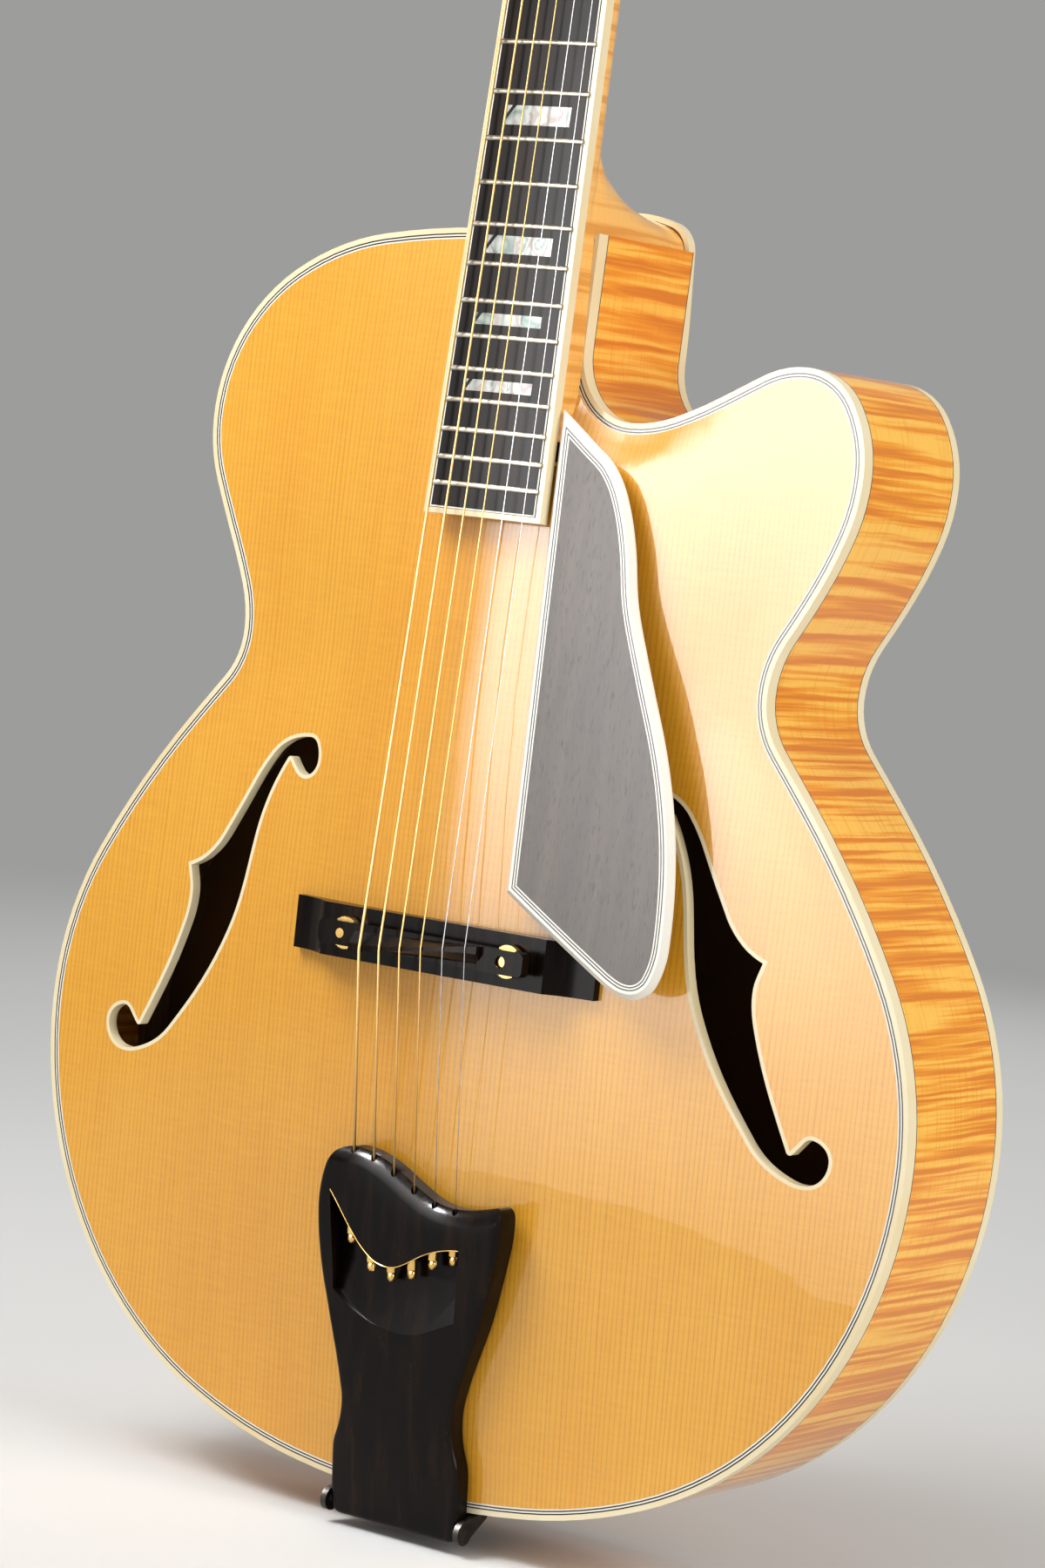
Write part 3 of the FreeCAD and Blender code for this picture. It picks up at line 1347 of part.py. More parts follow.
def build_pickguard(top_skin):
    outline = guard_outline()
    plate = prism(outline, 0, GUARD_T)
    rims = [e for e in plate.Edges if e.BoundBox.YMax < GUARD_T / 2]
    edge = plate.makeChamfer(GUARD_BEVEL, rims).cut(prism(inset(outline, GUARD_BIND_W), -1, GUARD_T + 1))
    lines = []
    for k in range(4):
        start = GUARD_BIND_W + k * LINE_W
        lines.append(ring(outline, start, start + LINE_W, 0, GUARD_T))
    core = prism(inset(outline, GUARD_BIND_W + LINES_W), 0, GUARD_T)
    save("pickguard", placed(core, GUARD))
    save("pickguard_binding", placed(Part.makeCompound([edge, lines[1], lines[3]]), GUARD))
    save("pickguard_lines", placed(Part.makeCompound([lines[0], lines[2]]), GUARD))
    below_guard = placed(prism(outline, GUARD_T, GUARD_T + 60), GUARD)
    below_top = top_skin.extrude(V(0, RIM_DEPTH, 0))
    post = rod(GUARD_POST_R, V(GUARD_POST_X, 5, GUARD_POST_Z), V(GUARD_POST_X, -40, GUARD_POST_Z))
    arm_z = (GUARD_ARM_Z - GUARD_ARM_W / 2, GUARD_ARM_Z + GUARD_ARM_W / 2)
    arm = box(TENON_HALF, GUARD_ARM_X, GUARD_T, GUARD_T + GUARD_ARM_T, *arm_z)
    supports = [post.common(below_guard).cut(below_top), placed(arm, GUARD).cut(extension_block())]
    save("pickguard_supports", Part.makeCompound([s for shape in supports for s in shape.Solids]))


os.makedirs("parts", exist_ok=True)
arch, top_skin = build_body()
build_fingerboard()
build_neck(top_skin)
routes = [string_run(i) for i in range(STRING_COUNT)]
build_nut(routes)
build_cover()
build_tuners()
build_bridge(arch, top_skin)
build_tailpiece(build_strings(routes))
build_pickguard(top_skin)
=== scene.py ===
"""Looks of the archtop guitar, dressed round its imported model. Lengths are metres."""
import math

import bpy
from mathutils import Matrix, Vector


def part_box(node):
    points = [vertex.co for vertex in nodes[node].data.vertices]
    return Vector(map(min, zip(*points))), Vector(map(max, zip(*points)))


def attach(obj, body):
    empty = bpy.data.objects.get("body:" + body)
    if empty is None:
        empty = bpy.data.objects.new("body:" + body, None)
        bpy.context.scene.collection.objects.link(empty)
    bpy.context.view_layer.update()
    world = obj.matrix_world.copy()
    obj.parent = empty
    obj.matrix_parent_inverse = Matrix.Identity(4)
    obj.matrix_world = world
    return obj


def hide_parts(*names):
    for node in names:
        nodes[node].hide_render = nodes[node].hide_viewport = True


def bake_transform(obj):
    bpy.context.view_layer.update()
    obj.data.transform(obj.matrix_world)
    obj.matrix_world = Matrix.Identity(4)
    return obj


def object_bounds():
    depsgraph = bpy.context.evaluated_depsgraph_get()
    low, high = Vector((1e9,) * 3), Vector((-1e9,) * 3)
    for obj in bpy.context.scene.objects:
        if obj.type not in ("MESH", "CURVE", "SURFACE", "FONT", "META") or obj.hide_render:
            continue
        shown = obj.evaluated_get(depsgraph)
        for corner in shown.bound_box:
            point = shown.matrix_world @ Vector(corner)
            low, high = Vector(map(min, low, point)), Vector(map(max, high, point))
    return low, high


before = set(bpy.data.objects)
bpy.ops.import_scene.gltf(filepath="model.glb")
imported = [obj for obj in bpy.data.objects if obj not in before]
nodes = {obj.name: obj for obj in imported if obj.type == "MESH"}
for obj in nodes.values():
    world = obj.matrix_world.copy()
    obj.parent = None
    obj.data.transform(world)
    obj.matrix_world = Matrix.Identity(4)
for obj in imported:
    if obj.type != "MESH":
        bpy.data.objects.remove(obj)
cad_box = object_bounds()

# Photograph frame and the camera that it was taken with
PHOTO_HEIGHT = 1800
FOCAL_PIXELS = 5011.3
LENS_RISE_PIXELS = 34.0
SENSOR = 36.0
CAMERA_AT = Vector((1.0265, -1.5054, 0.4269))
CAMERA_RIGHT = Vector((0.81616, 0.56789, 0.10669))
CAMERA_UP = Vector((-0.11976, -0.01439, 0.99270))

# Finish colours, linear
SPRUCE_PALE = (0.85, 0.420, 0.032, 1)
SPRUCE_WARM = (0.77, 0.325, 0.014, 1)
SPRUCE_LINE = (0.45, 0.148, 0.006, 1)
SPRUCE_SILK = (0.90, 0.485, 0.046, 1)
RIM_PALE = (0.97, 0.540, 0.075, 1)
RIM_MID = (0.86, 0.315, 0.011, 1)
RIM_DARK = (0.68, 0.190, 0.004, 1)
NECK_PALE = (0.95, 0.52, 0.130, 1)
NECK_MID = (0.88, 0.43, 0.085, 1)
NECK_DARK = (0.74, 0.31, 0.042, 1)
EBONY_BLACK = (0.0026, 0.0014, 0.0010, 1)
EBONY_BROWN = (0.017, 0.0078, 0.0038, 1)
CREAM = (0.84, 0.74, 0.50, 1)
CREAM_WARM = (0.80, 0.64, 0.36, 1)
LINE_BLACK = (0.014, 0.012, 0.011, 1)
LINE_WHITE = (0.84, 0.81, 0.72, 1)
PEARL_WHITE = (0.50, 0.52, 0.49, 1)
PEARL_GREEN = (0.20, 0.27, 0.24, 1)
PEARL_ROSE = (0.36, 0.31, 0.29, 1)
GOLD = (0.86, 0.58, 0.20, 1)
GOLD_WORN = (0.70, 0.44, 0.14, 1)
BLACKED = (0.035, 0.032, 0.030, 1)
BLACKED_WORN = (0.075, 0.068, 0.060, 1)
STEEL = (0.62, 0.61, 0.59, 1)
STEEL_DULL = (0.45, 0.44, 0.42, 1)
FRET = (0.50, 0.46, 0.38, 1)
FRET_DULL = (0.34, 0.30, 0.24, 1)
BRONZE = (0.84, 0.58, 0.24, 1)
# Bronze darkened as painted shade in the grooves between the wrap's turns
BRONZE_GROOVE_SHADE = (0.46, 0.27, 0.09, 1)
BONE = (0.80, 0.75, 0.60, 1)
BONE_DARK = (0.66, 0.58, 0.42, 1)
GUARD_DARK = (0.042, 0.0290, 0.0215, 1)
GUARD_LIGHT = (0.072, 0.0510, 0.0380, 1)
BARE_PALE = (0.22, 0.120, 0.050, 1)
# Dark tone of bare wood's grain, and also painted shade on the inside face of the back
BARE_GRAIN_AND_SHADE = (0.13, 0.060, 0.021, 1)
PAPER = (0.58, 0.58, 0.57, 1)
PAPER_SHADE = (0.56, 0.56, 0.55, 1)

# Pattern sizes, metres and radians
GRAIN_PITCH = 0.0023
GRAIN_DRIFT = 0.0050
RIM_CENTRE_Z = 0.24
RIM_TURN_SHARE = 0.12
RIM_RISE_SHARE = 0.80
RIM_FLAME_PITCH = 0.0027
BACK_FLAME_PITCH = 0.0036
NECK_FLAME_PITCH = 0.0028
BACK_FLAME_SLANT = 0.35
FLAME_BREAK = 11.0
FLAME_WANDER = 0.9
WRAP_PITCH = 0.00032
WAVE_TURNS = 20.0
BOARD_CORE_NUT = 0.0193
BOARD_CORE_END = 0.0268
BOARD_LINE_IN = 0.0009
BOARD_LINE_HALF = 0.0003
INSIDE_FACING = -0.5
PEARL_WARP = 0.012
PEARL_CELLS = 150.0
PEARL_BANDS = 2.3

# Strings and mesh work, metres and radians
STRING_COUNT = 6
PLAIN_STRINGS = 2
BALL_L = 0.0040
MERGE_DISTANCE = 1e-6
CREASE_ANGLE = math.radians(32)
SMOOTH_ANGLE = math.radians(60)
SHARP_ANGLE = math.radians(50)

# Gold line along the tailpiece's pocket, metres
LINE_RADIUS = 0.00026
POCKET_LOW = 0.1110
POCKET_HIGH = 0.1395
POCKET_HALF = 0.0360
TAIL_FRONT_Y = -0.0476
TAIL_FRONT_Z = 0.0130
TAIL_LEAN = 0.138
FLUSH_WITHIN = 2e-5
SIDEWAYS_SHARE = 0.3

# Floor and studio light
FLOOR_RADIUS = 30.0
FLOOR_SIDES = 96
FLOOR_GAP = 0.0005
FLOOR_NEAR = 0.7
FLOOR_FAR = 3.2
STUDIO_GREY = (0.80, 0.80, 0.79, 1)
STUDIO_LIGHT = 0.42

# Lamp targets, the gloss panel's fade and the strip's beam
BODY_MIDDLE = Vector((0, 0, 0.27))
UPPER_BOUT = Vector((0, 0, 0.44))
TAIL_CREST = Vector((0, -0.065, 0.15))
GLOSS_TARGET = Vector((0.08, -0.045, 0.50))
GLOSS_EDGE = (0.08, 0.30)
GLOSS_RISE = [(0.0, 0.10), (0.12, 0.26), (0.27, 0.52), (0.50, 1.0), (0.74, 1.0), (0.90, 0.06)]
STRIP_SPREAD = math.radians(16)


# Material building
def grey(value):
    return (value, value, value, 1)


def set_stops(ramp, stops):
    """Gives a colour ramp its stops, pairs of place and colour."""
    while len(ramp.elements) < len(stops):
        ramp.elements.new(0.5)
    for point, (place, colour) in zip(ramp.elements, stops):
        point.position = place
        point.color = colour


class Finish:
    """A material with one principled shader, and short calls for the nodes that feed it."""

    def __init__(self, name, **sockets):
        self.material = bpy.data.materials.new(name)
        self.material.use_nodes = True
        self.tree = self.material.node_tree
        self.shader = self.tree.nodes["Principled BSDF"]
        for socket, value in sockets.items():
            self.shader.inputs[socket.replace("_", " ")].default_value = value
        self.place = self.node("ShaderNodeTexCoord").outputs["Object"]

    def node(self, kind, **inputs):
        """Adds a node; an input is a number, a colour or another node's output."""
        made = self.tree.nodes.new(kind)
        for name, value in inputs.items():
            self.feed(made.inputs[name.replace("_", " ")], value)
        return made

    def feed(self, socket, value):
        if isinstance(value, bpy.types.NodeSocket):
            self.tree.links.new(value, socket)
        else:
            socket.default_value = value

    def stretched(self, scale):
        """Object coordinates scaled by axis, so that a pattern runs along the smallest scale."""
        made = self.node("ShaderNodeMapping", Vector=self.place, Scale=scale)
        return made.outputs["Vector"]

    def axis(self, name):
        return self.node("ShaderNodeSeparateXYZ", Vector=self.place).outputs[name]

    def noise(self, vector, scale, detail=3.0, roughness=0.55, distortion=0.0):
        made = self.node(
            "ShaderNodeTexNoise",
            Vector=vector,
            Scale=scale,
            Detail=detail,
            Roughness=roughness,
            Distortion=distortion,
        )
        return made.outputs["Fac"]

    def math(self, operation, a, b=0.0):
        made = self.node("ShaderNodeMath")
        made.operation = operation
        self.feed(made.inputs[0], a)
        self.feed(made.inputs[1], b)
        return made.outputs["Value"]

    def ramp(self, fac, stops):
        made = self.node("ShaderNodeValToRGB", Fac=fac)
        set_stops(made.color_ramp, stops)
        return made.outputs["Color"]

    def mix(self, fac, a, b, blend="MIX"):
        made = self.node("ShaderNodeMix")
        made.data_type = "RGBA"
        made.blend_type = blend
        self.feed(made.inputs["Factor"], fac)
        self.feed(made.inputs["A"], a)
        self.feed(made.inputs["B"], b)
        return made.outputs["Result"]

    def span(self, fac, low, high):
        """A 0 to 1 pattern stretched between two values."""
        return self.node("ShaderNodeMapRange", Value=fac, To_Min=low, To_Max=high).outputs["Result"]

    def colour(self, value):
        self.feed(self.shader.inputs["Base Color"], value)

    def rough(self, value):
        self.feed(self.shader.inputs["Roughness"], value)

    def bump(self, height, distance, strength=0.3):
        made = self.node("ShaderNodeBump", Height=height, Distance=distance, Strength=strength)
        self.feed(self.shader.inputs["Normal"], made.outputs["Normal"])


def lacquered(name, roughness, specular, coat, coat_roughness):
    """A finish under clear lacquer."""
    return Finish(
        name,
        Roughness=roughness,
        Specular_IOR_Level=specular,
        Coat_Weight=coat,
        Coat_Roughness=coat_roughness,
    )


# Woods
def spruce_top():
    """Honey-coloured spruce under gloss lacquer, with straight grain along the strings."""
    f = lacquered("spruce_top", 0.36, 0.25, coat=1.0, coat_roughness=0.025)
    drift = f.noise(f.stretched((1.0, 0.0, 0.06)), 60)
    across = f.math("ADD", f.axis("X"), f.math("MULTIPLY", drift, GRAIN_DRIFT))
    years = f.math("SINE", f.math("MULTIPLY", across, 2 * math.pi / GRAIN_PITCH))
    late = f.ramp(years, [(0.20, grey(0)), (1.0, grey(1))])
    fading = f.noise(f.stretched((1.0, 0.2, 0.03)), 260)
    fine = f.noise(f.stretched((1.0, 0.12, 0.02)), 1500, detail=2.0)
    clouds = f.noise(f.stretched((1.0, 1.0, 0.30)), 11)
    silk = f.noise(f.stretched((0.12, 0.4, 1.0)), 700)
    body = f.ramp(clouds, [(0.32, SPRUCE_WARM), (0.70, SPRUCE_PALE)])
    body = f.mix(f.math("MULTIPLY", late, f.span(fading, 0.10, 0.95)), body, SPRUCE_LINE)
    body = f.mix(f.span(fine, 0.0, 0.40), body, SPRUCE_LINE)
    body = f.mix(f.span(silk, 0.0, 0.42), body, SPRUCE_SILK)
    f.colour(body)
    return f.material


def flamed_maple(name, along, pitch, tones, shaded_bare_inside=False):
    """Flamed maple under gloss lacquer: bands across the wood, and fine lines along it; optionally its
    inside face is bare wood in its dark tone, darkened as painted shade inside the body.
    """
    f = lacquered(name, 0.45, 0.10, coat=1.0, coat_roughness=0.04)
    pale, mid, dark = tones
    wander = f.noise(f.place, 24, detail=2.0)
    bands = f.math("MULTIPLY", along(f), 1 / pitch)
    place = f.math("ADD", bands, f.math("MULTIPLY", wander, FLAME_WANDER))
    deep = f.math("MULTIPLY", f.axis("Y"), FLAME_BREAK)
    wide = f.math("MULTIPLY", f.axis("X"), FLAME_BREAK)
    spread = f.node("ShaderNodeCombineXYZ", X=place, Y=deep, Z=wide).outputs["Vector"]
    flame = f.noise(spread, 0.8, detail=2.0)
    fibres = f.noise(f.stretched((0.04, 1.0, 0.04)), 850, detail=2.0)
    lines = f.ramp(fibres, [(0.52, grey(0)), (0.70, grey(1))])
    sheen = f.noise(f.stretched((0.5, 1.0, 0.5)), 1500, detail=2.0)
    body = f.ramp(flame, [(0.40, dark), (0.49, mid), (0.59, pale)])
    body = f.mix(f.span(lines, 0.0, 0.34), body, dark)
    body = f.mix(f.span(sheen, 0.0, 0.24), body, mid)
    # Inside face: bare wood, given the flat dark bare tone as painted shade inside the closed body.
    if shaded_bare_inside:
        facing = f.node("ShaderNodeNewGeometry").outputs["True Normal"]
        forward = f.node("ShaderNodeSeparateXYZ", Vector=facing).outputs["Y"]
        body = f.mix(f.math("LESS_THAN", forward, INSIDE_FACING), body, BARE_GRAIN_AND_SHADE)
    f.colour(body)
    return f.material


def round_the_rim(f):
    """Runs round the body from the tail, so that the flame crosses the rim everywhere."""
    rise = f.math("SUBTRACT", f.axis("Z"), RIM_CENTRE_Z)
    turn = f.math("ARCTAN2", rise, f.math("ABSOLUTE", f.axis("X")))
    turned = f.math("MULTIPLY", turn, RIM_TURN_SHARE)
    return f.math("ADD", turned, f.math("MULTIPLY", f.axis("Z"), RIM_RISE_SHARE))


def up_the_neck(f):
    return f.axis("Z")


def across_the_back(f):
    slant = f.math("MULTIPLY", f.math("ABSOLUTE", f.axis("X")), BACK_FLAME_SLANT)
    return f.math("ADD", f.axis("Z"), slant)


def streaked(f, roughness):
    """Near-black wood with faint brown streaks and open pores along the strings."""
    streaks = f.noise(f.stretched((1.0, 1.0, 0.04)), 170, detail=5.0, distortion=0.2)
    pores = f.noise(f.stretched((1.0, 1.0, 0.06)), 2600, detail=2.0)
    f.rough(f.span(pores, roughness - 0.05, roughness + 0.07))
    f.bump(pores, 0.00003)
    return f.ramp(streaks, [(0.46, EBONY_BLACK), (0.80, EBONY_BROWN)])


def ebony(name, roughness):
    f = Finish(name, Specular_IOR_Level=0.12)
    f.colour(streaked(f, roughness))
    return f.material


def board_ebony():
    """Fingerboard ebony with a thin white line let in near its edge and its end."""
    f = Finish("board_ebony", Specular_IOR_Level=0.20)
    foot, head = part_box("fingerboard")
    rise = f.axis("Z")
    taper = f.node("ShaderNodeMapRange", Value=rise, From_Min=foot[2], From_Max=head[2])
    taper.inputs["To Min"].default_value = BOARD_CORE_END
    taper.inputs["To Max"].default_value = BOARD_CORE_NUT
    from_side = f.math("SUBTRACT", taper.outputs["Result"], f.math("ABSOLUTE", f.axis("X")))
    from_end = f.math("SUBTRACT", rise, foot[2])
    depth = f.math("MINIMUM", from_side, from_end)
    off = f.math("ABSOLUTE", f.math("SUBTRACT", depth, BOARD_LINE_IN))
    line_here = f.math("LESS_THAN", off, BOARD_LINE_HALF)
    f.colour(f.mix(line_here, streaked(f, 0.34), LINE_WHITE))
    return f.material


def guard_wood():
    """Dark satin wood of the pickguard, with short scattered pores."""
    f = Finish("guard_wood", Specular_IOR_Level=0.46)
    streaks = f.noise(f.stretched((1.0, 1.0, 0.06)), 120, detail=4.0, distortion=0.1)
    pores = f.noise(f.stretched((1.0, 1.0, 0.12)), 1500, detail=2.0)
    flecks = f.ramp(pores, [(0.56, grey(0)), (0.74, grey(1))])
    body = f.ramp(streaks, [(0.34, GUARD_DARK), (0.72, GUARD_LIGHT)])
    f.colour(f.mix(f.span(flecks, 0.0, 0.7), body, EBONY_BLACK))
    f.rough(f.span(flecks, 0.30, 0.46))
    f.bump(pores, 0.00004)
    return f.material


def bare_wood():
    """Unfinished wood inside the body."""
    f = Finish("bare_wood", Roughness=0.75)
    grain = f.noise(f.stretched((1.0, 1.0, 0.04)), 420)
    f.colour(f.ramp(grain, [(0.35, BARE_GRAIN_AND_SHADE), (0.68, BARE_PALE)]))
    f.bump(grain, 0.0001)
    return f.material


# Plastics, pearl and bone
def binding():
    """Cream binding, slightly warmer in places under its lacquer."""
    f = lacquered("cream_binding", 0.4, 0.1, coat=0.8, coat_roughness=0.05)
    tint = f.noise(f.place, 14)
    f.colour(f.ramp(tint, [(0.32, CREAM_WARM), (0.62, CREAM)]))
    return f.material


def line(name, colour):
    f = lacquered(name, 0.4, 0.06, coat=0.7, coat_roughness=0.05)
    tint = f.noise(f.place, 40, detail=2.0)
    f.colour(f.mix(f.span(tint, 0.0, 0.05), colour, CREAM_WARM))
    return f.material


def pearl():
    """Shell inlay: patches of white, green and rose that catch the light differently."""
    f = Finish("pearl", Specular_IOR_Level=0.35, Metallic=0.10)
    warp = f.noise(f.place, 120)
    moved = f.node("ShaderNodeVectorMath")
    moved.operation = "ADD"
    f.feed(moved.inputs[0], f.stretched((1.0, 1.0, 0.6)))
    aside = f.node("ShaderNodeCombineXYZ", X=f.math("MULTIPLY", warp, PEARL_WARP))
    f.feed(moved.inputs[1], aside.outputs["Vector"])
    cells = f.node("ShaderNodeTexVoronoi", Vector=moved.outputs["Vector"], Scale=PEARL_CELLS)
    cells.feature = "SMOOTH_F1"
    tone = f.math("FRACT", f.math("MULTIPLY", cells.outputs["Distance"], PEARL_BANDS))
    stops = [(0.15, PEARL_WHITE), (0.42, PEARL_GREEN), (0.62, PEARL_WHITE), (0.85, PEARL_ROSE)]
    f.colour(f.ramp(tone, stops))
    f.rough(f.span(tone, 0.16, 0.34))
    return f.material


def bone():
    f = Finish("bone", Coat_Weight=0.2)
    fibre = f.noise(f.stretched((0.1, 1.0, 1.0)), 900, detail=2.0)
    f.colour(f.ramp(fibre, [(0.36, BONE_DARK), (0.60, BONE)]))
    f.rough(f.span(fibre, 0.35, 0.5))
    return f.material


# Metals
def metal(name, bright, dull, roughness):
    """Polished metal with faint smears."""
    f = Finish(name, Metallic=1.0)
    smear = f.noise(f.place, 160, detail=4.0)
    f.colour(f.ramp(smear, [(0.35, dull), (0.60, bright)]))
    f.rough(f.span(smear, roughness, roughness + 0.14))
    return f.material


def wound_wire():
    """Bronze wrap wire: close turns across the string, with painted shade in the grooves between them.
    """
    f = Finish("wound_wire", Metallic=1.0)
    turns = f.node("ShaderNodeTexWave", Vector=f.place)
    turns.inputs["Scale"].default_value = 2 * math.pi / (WAVE_TURNS * WRAP_PITCH)
    turns.bands_direction = "Z"
    # Painted shade: the bronze colour darkens in each groove between turns, lightest on their crowns.
    f.colour(f.ramp(turns.outputs["Fac"], [(0.05, BRONZE_GROOVE_SHADE), (0.55, BRONZE)]))
    f.rough(f.span(turns.outputs["Fac"], 0.42, 0.26))
    f.bump(turns.outputs["Fac"], 0.00006, strength=0.6)
    return f.material


RIM_TONES = (RIM_PALE, RIM_MID, RIM_DARK)
NECK_TONES = (NECK_PALE, NECK_MID, NECK_DARK)
MAPLE_RIM = flamed_maple("maple_rim", round_the_rim, RIM_FLAME_PITCH, RIM_TONES)
EBONY_GLOSS = ebony("ebony_gloss", 0.20)
BLACK_METAL = metal("black_metal", BLACKED, BLACKED_WORN, 0.30)
GOLD_METAL = metal("gold_metal", GOLD, GOLD_WORN, 0.16)
CREAM_PLASTIC = binding()
WHITE_PLASTIC = line("white_line", LINE_WHITE)
BLACK_PLASTIC = line("black_line", LINE_BLACK)
BARE_WOOD = bare_wood()

FINISHES = {
    "top_plate": spruce_top(),
    "rim_bass": MAPLE_RIM,
    "rim_treble": MAPLE_RIM,
    "back_plate": flamed_maple(
        "maple_back", across_the_back, BACK_FLAME_PITCH, RIM_TONES, shaded_bare_inside=True
    ),
    "neck": flamed_maple("maple_neck", up_the_neck, NECK_FLAME_PITCH, NECK_TONES),
    "neck_block": BARE_WOOD,
    "end_block": BARE_WOOD,
    "kerfed_linings": BARE_WOOD,
    "tone_bars": BARE_WOOD,
    "fingerboard": board_ebony(),
    "bridge_base": EBONY_GLOSS,
    "bridge_saddle": EBONY_GLOSS,
    "tailpiece": EBONY_GLOSS,
    "headstock_veneer": EBONY_GLOSS,
    "truss_rod_cover": EBONY_GLOSS,
    "end_pin": EBONY_GLOSS,
    "top_binding": CREAM_PLASTIC,
    "back_binding": CREAM_PLASTIC,
    "f_hole_binding": CREAM_PLASTIC,
    "fingerboard_binding": CREAM_PLASTIC,
    "black_purfling": BLACK_PLASTIC,
    "white_purfling": WHITE_PLASTIC,
    "pickguard": guard_wood(),
    "pickguard_binding": WHITE_PLASTIC,
    "pickguard_lines": BLACK_PLASTIC,
    "pickguard_supports": EBONY_GLOSS,
    "fret_inlays": pearl(),
    "frets": metal("fret_metal", FRET, FRET_DULL, 0.30),
    "nut": bone(),
    "tailpiece_bracket": BLACK_METAL,
    "tailpiece_hinge_pin": BLACK_METAL,
    "bracket_screws": BLACK_METAL,
    "truss_rod": metal("rod_steel", STEEL_DULL, STEEL_DULL, 0.45),
}
FINISHES["truss_rod_nut"] = FINISHES["truss_rod"]
WOUND = wound_wire()
PLAIN = metal("plain_wire", STEEL, STEEL_DULL, 0.20)


def dress(node, finish):
    """Gives a node its finish, and joins and smooths its faces up to a crease angle."""
    node.data.materials.clear()
    node.data.materials.append(finish)
    node.data.polygons.foreach_set("use_smooth", [True] * len(node.data.polygons))
    weld = node.modifiers.new("weld", "WELD")
    weld.merge_threshold = MERGE_DISTANCE
    crease = node.modifiers.new("crease", "EDGE_SPLIT")
    crease.split_angle = CREASE_ANGLE


for name, node in nodes.items():
    if not name.startswith("string_"):
        dress(node, FINISHES.get(name, GOLD_METAL))


def merged_copy(source, name):
    """Copy of a node's mesh as a piece of its own, left in edit mode with doubled points merged."""
    piece = bpy.data.objects.new(name, source.data.copy())
    bpy.context.scene.collection.objects.link(piece)
    piece.data.materials.clear()
    bpy.ops.object.select_all(action="DESELECT")
    piece.select_set(True)
    bpy.context.view_layer.objects.active = piece
    bpy.ops.object.mode_set(mode="EDIT")
    bpy.ops.mesh.select_all(action="SELECT")
    bpy.ops.mesh.remove_doubles(threshold=MERGE_DISTANCE)
    return piece


# Strings, parted at the saddle so that each end moves with what holds it
def part_of_string(number, name, cut, keep_above):
    """Copy of a string's mesh, merged and cut off square at a height."""
    piece = merged_copy(nodes["string_%d" % number], name)
    bpy.ops.mesh.select_all(action="SELECT")
    bpy.ops.mesh.bisect(
        plane_co=cut,
        plane_no=(0, 0, 1),
        use_fill=True,
        clear_inner=keep_above,
        clear_outer=not keep_above,
    )
    bpy.ops.object.mode_set(mode="OBJECT")
    bpy.ops.object.shade_smooth_by_angle(angle=SMOOTH_ANGLE)
    piece.data.materials.append(PLAIN if number <= PLAIN_STRINGS else WOUND)
    piece.data.materials.append(GOLD_METAL)
    ball_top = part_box("string_%d" % number)[0][2] + BALL_L
    for face in piece.data.polygons:
        face.material_index = int(face.center.z < ball_top)
    return piece


for number in range(1, STRING_COUNT + 1):
    mesh = nodes["string_%d" % number].data
    crest = min((v.co for v in mesh.vertices), key=lambda p: p.y).copy()
    run = part_of_string(number, "string_%d_run" % number, crest, True)
    tail = part_of_string(number, "string_%d_tail" % number, crest, False)
    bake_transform(run)
    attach(tail, "tailpiece")
    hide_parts("string_%d" % number)
    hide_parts("string_%d" % number)


# Gold line let in along the pocket's curved upper edge
def on_pocket_edge(a, b):
    """Whether an edge of the tailpiece lies on its front plane, along the top of the pocket."""
    level = (POCKET_LOW < p.z < POCKET_HIGH and abs(p.x) < POCKET_HALF for p in (a, b))
    flush = (abs(p.y - TAIL_FRONT_Y + TAIL_LEAN * (p.z - TAIL_FRONT_Z)) < FLUSH_WITHIN for p in (a, b))
    return all(level) and all(flush) and abs(a.x - b.x) > SIDEWAYS_SHARE * (a - b).length


def pocket_line():
    """Round line along the sharp edges of the tailpiece that bound the pocket's top."""
    piece = merged_copy(nodes["tailpiece"], "pocket_line")
    bpy.ops.mesh.select_mode(type="EDGE")
    bpy.ops.mesh.select_all(action="DESELECT")
    bpy.ops.mesh.edges_select_sharp(sharpness=SHARP_ANGLE)
    bpy.ops.object.mode_set(mode="OBJECT")
    for edge in piece.data.edges:
        a, b = [piece.data.vertices[i].co for i in edge.vertices]
        edge.select = edge.select and on_pocket_edge(a, b)
    bpy.ops.object.mode_set(mode="EDIT")
    bpy.ops.mesh.select_all(action="INVERT")
    bpy.ops.mesh.delete(type="EDGE")
    bpy.ops.object.mode_set(mode="OBJECT")
    bpy.ops.object.convert(target="CURVE")
    piece.data.bevel_depth = LINE_RADIUS
    piece.data.bevel_resolution = 3
    piece.data.use_fill_caps = True
    bpy.ops.object.convert(target="MESH")
    piece.data.materials.append(GOLD_METAL)
    bpy.ops.object.shade_smooth_by_angle(angle=SMOOTH_ANGLE)
    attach(piece, "tailpiece")


pocket_line()


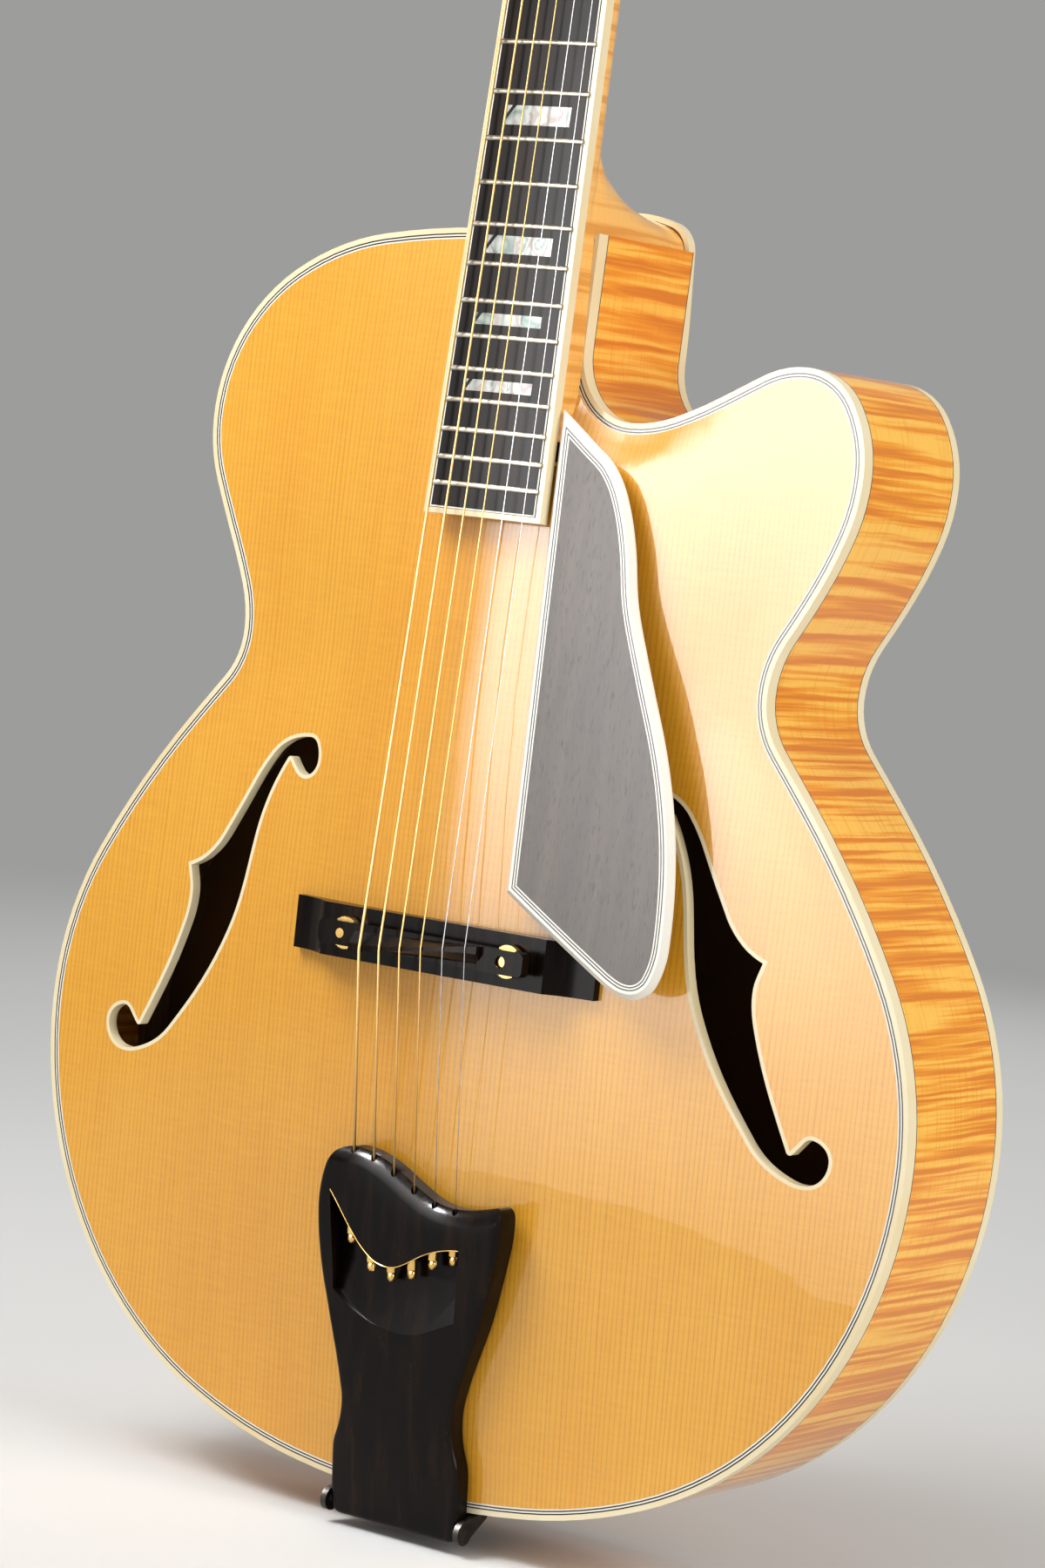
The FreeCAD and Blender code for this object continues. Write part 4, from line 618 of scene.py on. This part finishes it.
# Pale floor that runs out into the studio's own light
def paper_floor(floor_z):
    bpy.ops.object.select_all(action="DESELECT")
    bpy.ops.mesh.primitive_circle_add(radius=FLOOR_RADIUS, vertices=FLOOR_SIDES, fill_type="NGON")
    floor = bpy.context.object
    floor.name = "paper_floor"
    floor.location.z = floor_z
    f = Finish("paper", Roughness=0.9)
    f.colour(f.ramp(f.noise(f.place, 3, detail=2.0), [(0.2, PAPER_SHADE), (0.8, PAPER)]))
    length = f.node("ShaderNodeVectorMath", Vector=f.place)
    length.operation = "LENGTH"
    away = length.outputs["Value"]
    far = f.node("ShaderNodeMapRange", Value=away, From_Min=FLOOR_NEAR, From_Max=FLOOR_FAR)
    far.interpolation_type = "SMOOTHSTEP"
    rays = f.node("ShaderNodeLightPath").outputs
    seen = f.math("MAXIMUM", rays["Is Camera Ray"], rays["Is Glossy Ray"])
    haze = f.node("ShaderNodeEmission", Color=STUDIO_GREY, Strength=STUDIO_LIGHT)
    blend = f.node("ShaderNodeMixShader", Fac=f.math("MULTIPLY", far.outputs["Result"], seen))
    f.tree.links.new(f.shader.outputs["BSDF"], blend.inputs[1])
    f.tree.links.new(haze.outputs["Emission"], blend.inputs[2])
    f.tree.links.new(blend.outputs["Shader"], f.tree.nodes["Material Output"].inputs["Surface"])
    floor.data.materials.append(f.material)


paper_floor(cad_box[0][2] - FLOOR_GAP)


# Soft boxes round the guitar
def soft_box(name, azimuth, elevation, distance, size, watts, target):
    """Rectangular lamp round a target; azimuth 0 is the front, positive to the treble side."""
    a = math.radians(azimuth)
    e = math.radians(elevation)
    out = Vector((math.sin(a) * math.cos(e), -math.cos(a) * math.cos(e), math.sin(e)))
    lamp = bpy.data.lights.new(name, "AREA")
    lamp.shape = "RECTANGLE"
    lamp.size, lamp.size_y = size
    lamp.energy = watts
    holder = bpy.data.objects.new(name, lamp)
    bpy.context.scene.collection.objects.link(holder)
    holder.location = target + out * distance
    holder.rotation_euler = out.to_track_quat("Z", "Y").to_euler()
    holder.visible_camera = False
    return holder


def fade(lamp, left, rise):
    """Fades a lamp towards its left edge, and sets its brightness up its height."""
    lamp.use_nodes = True
    tree = lamp.node_tree
    split = tree.nodes.new("ShaderNodeSeparateXYZ")
    place_on_lamp = tree.nodes.new("ShaderNodeNewGeometry").outputs["Parametric"]
    tree.links.new(place_on_lamp, split.inputs["Vector"])
    side = tree.nodes.new("ShaderNodeMapRange")
    side.interpolation_type = "SMOOTHSTEP"
    side.inputs["From Min"].default_value = left[0]
    side.inputs["From Max"].default_value = left[1]
    tree.links.new(split.outputs["X"], side.inputs["Value"])
    height = tree.nodes.new("ShaderNodeValToRGB")
    set_stops(height.color_ramp, [(place, grey(level)) for place, level in rise])
    tree.links.new(split.outputs["Y"], height.inputs["Fac"])
    product = tree.nodes.new("ShaderNodeMath")
    product.operation = "MULTIPLY"
    tree.links.new(side.outputs["Result"], product.inputs[0])
    tree.links.new(height.outputs["Color"], product.inputs[1])
    tree.links.new(product.outputs["Value"], tree.nodes["Emission"].inputs["Strength"])


gloss = soft_box(
    "gloss", azimuth=-24, elevation=0, distance=0.55, size=(0.50, 0.96), watts=18, target=GLOSS_TARGET
)
gloss.visible_diffuse = False
fade(gloss.data, GLOSS_EDGE, GLOSS_RISE)
key = soft_box(
    "key", azimuth=-38, elevation=45, distance=1.15, size=(0.7, 0.7), watts=17, target=UPPER_BOUT
)
key.visible_glossy = False
strip = soft_box(
    "strip", azimuth=-35, elevation=55, distance=1.3, size=(0.5, 0.25), watts=3, target=TAIL_CREST
)
strip.visible_diffuse = False
strip.data.spread = STRIP_SPREAD
soft_box("side", azimuth=80, elevation=18, distance=2.6, size=(1.4, 1.8), watts=42, target=BODY_MIDDLE)
soft_box("top", azimuth=10, elevation=78, distance=2.6, size=(2.4, 2.4), watts=18, target=BODY_MIDDLE)
rear = soft_box(
    "rear", azimuth=205, elevation=20, distance=2.6, size=(1.6, 1.6), watts=22, target=BODY_MIDDLE
)
rear.visible_glossy = False

world = bpy.data.worlds.new("studio")
world.use_nodes = True
background = world.node_tree.nodes["Background"].inputs
background["Color"].default_value = STUDIO_GREY
background["Strength"].default_value = STUDIO_LIGHT
bpy.context.scene.world = world
bpy.context.scene.view_settings.view_transform = "Standard"

# Camera
eye = bpy.data.cameras.new("photo")
eye.sensor_fit = "VERTICAL"
eye.sensor_height = SENSOR
eye.lens = SENSOR * FOCAL_PIXELS / PHOTO_HEIGHT
eye.shift_y = -LENS_RISE_PIXELS / PHOTO_HEIGHT
camera = bpy.data.objects.new("photo", eye)
bpy.context.scene.collection.objects.link(camera)
back = CAMERA_RIGHT.cross(CAMERA_UP)
turn = Matrix((CAMERA_RIGHT, CAMERA_UP, back)).transposed()
camera.matrix_world = Matrix.Translation(CAMERA_AT) @ turn.to_4x4()
bpy.context.scene.camera = camera

bpy.context.view_layer.update()
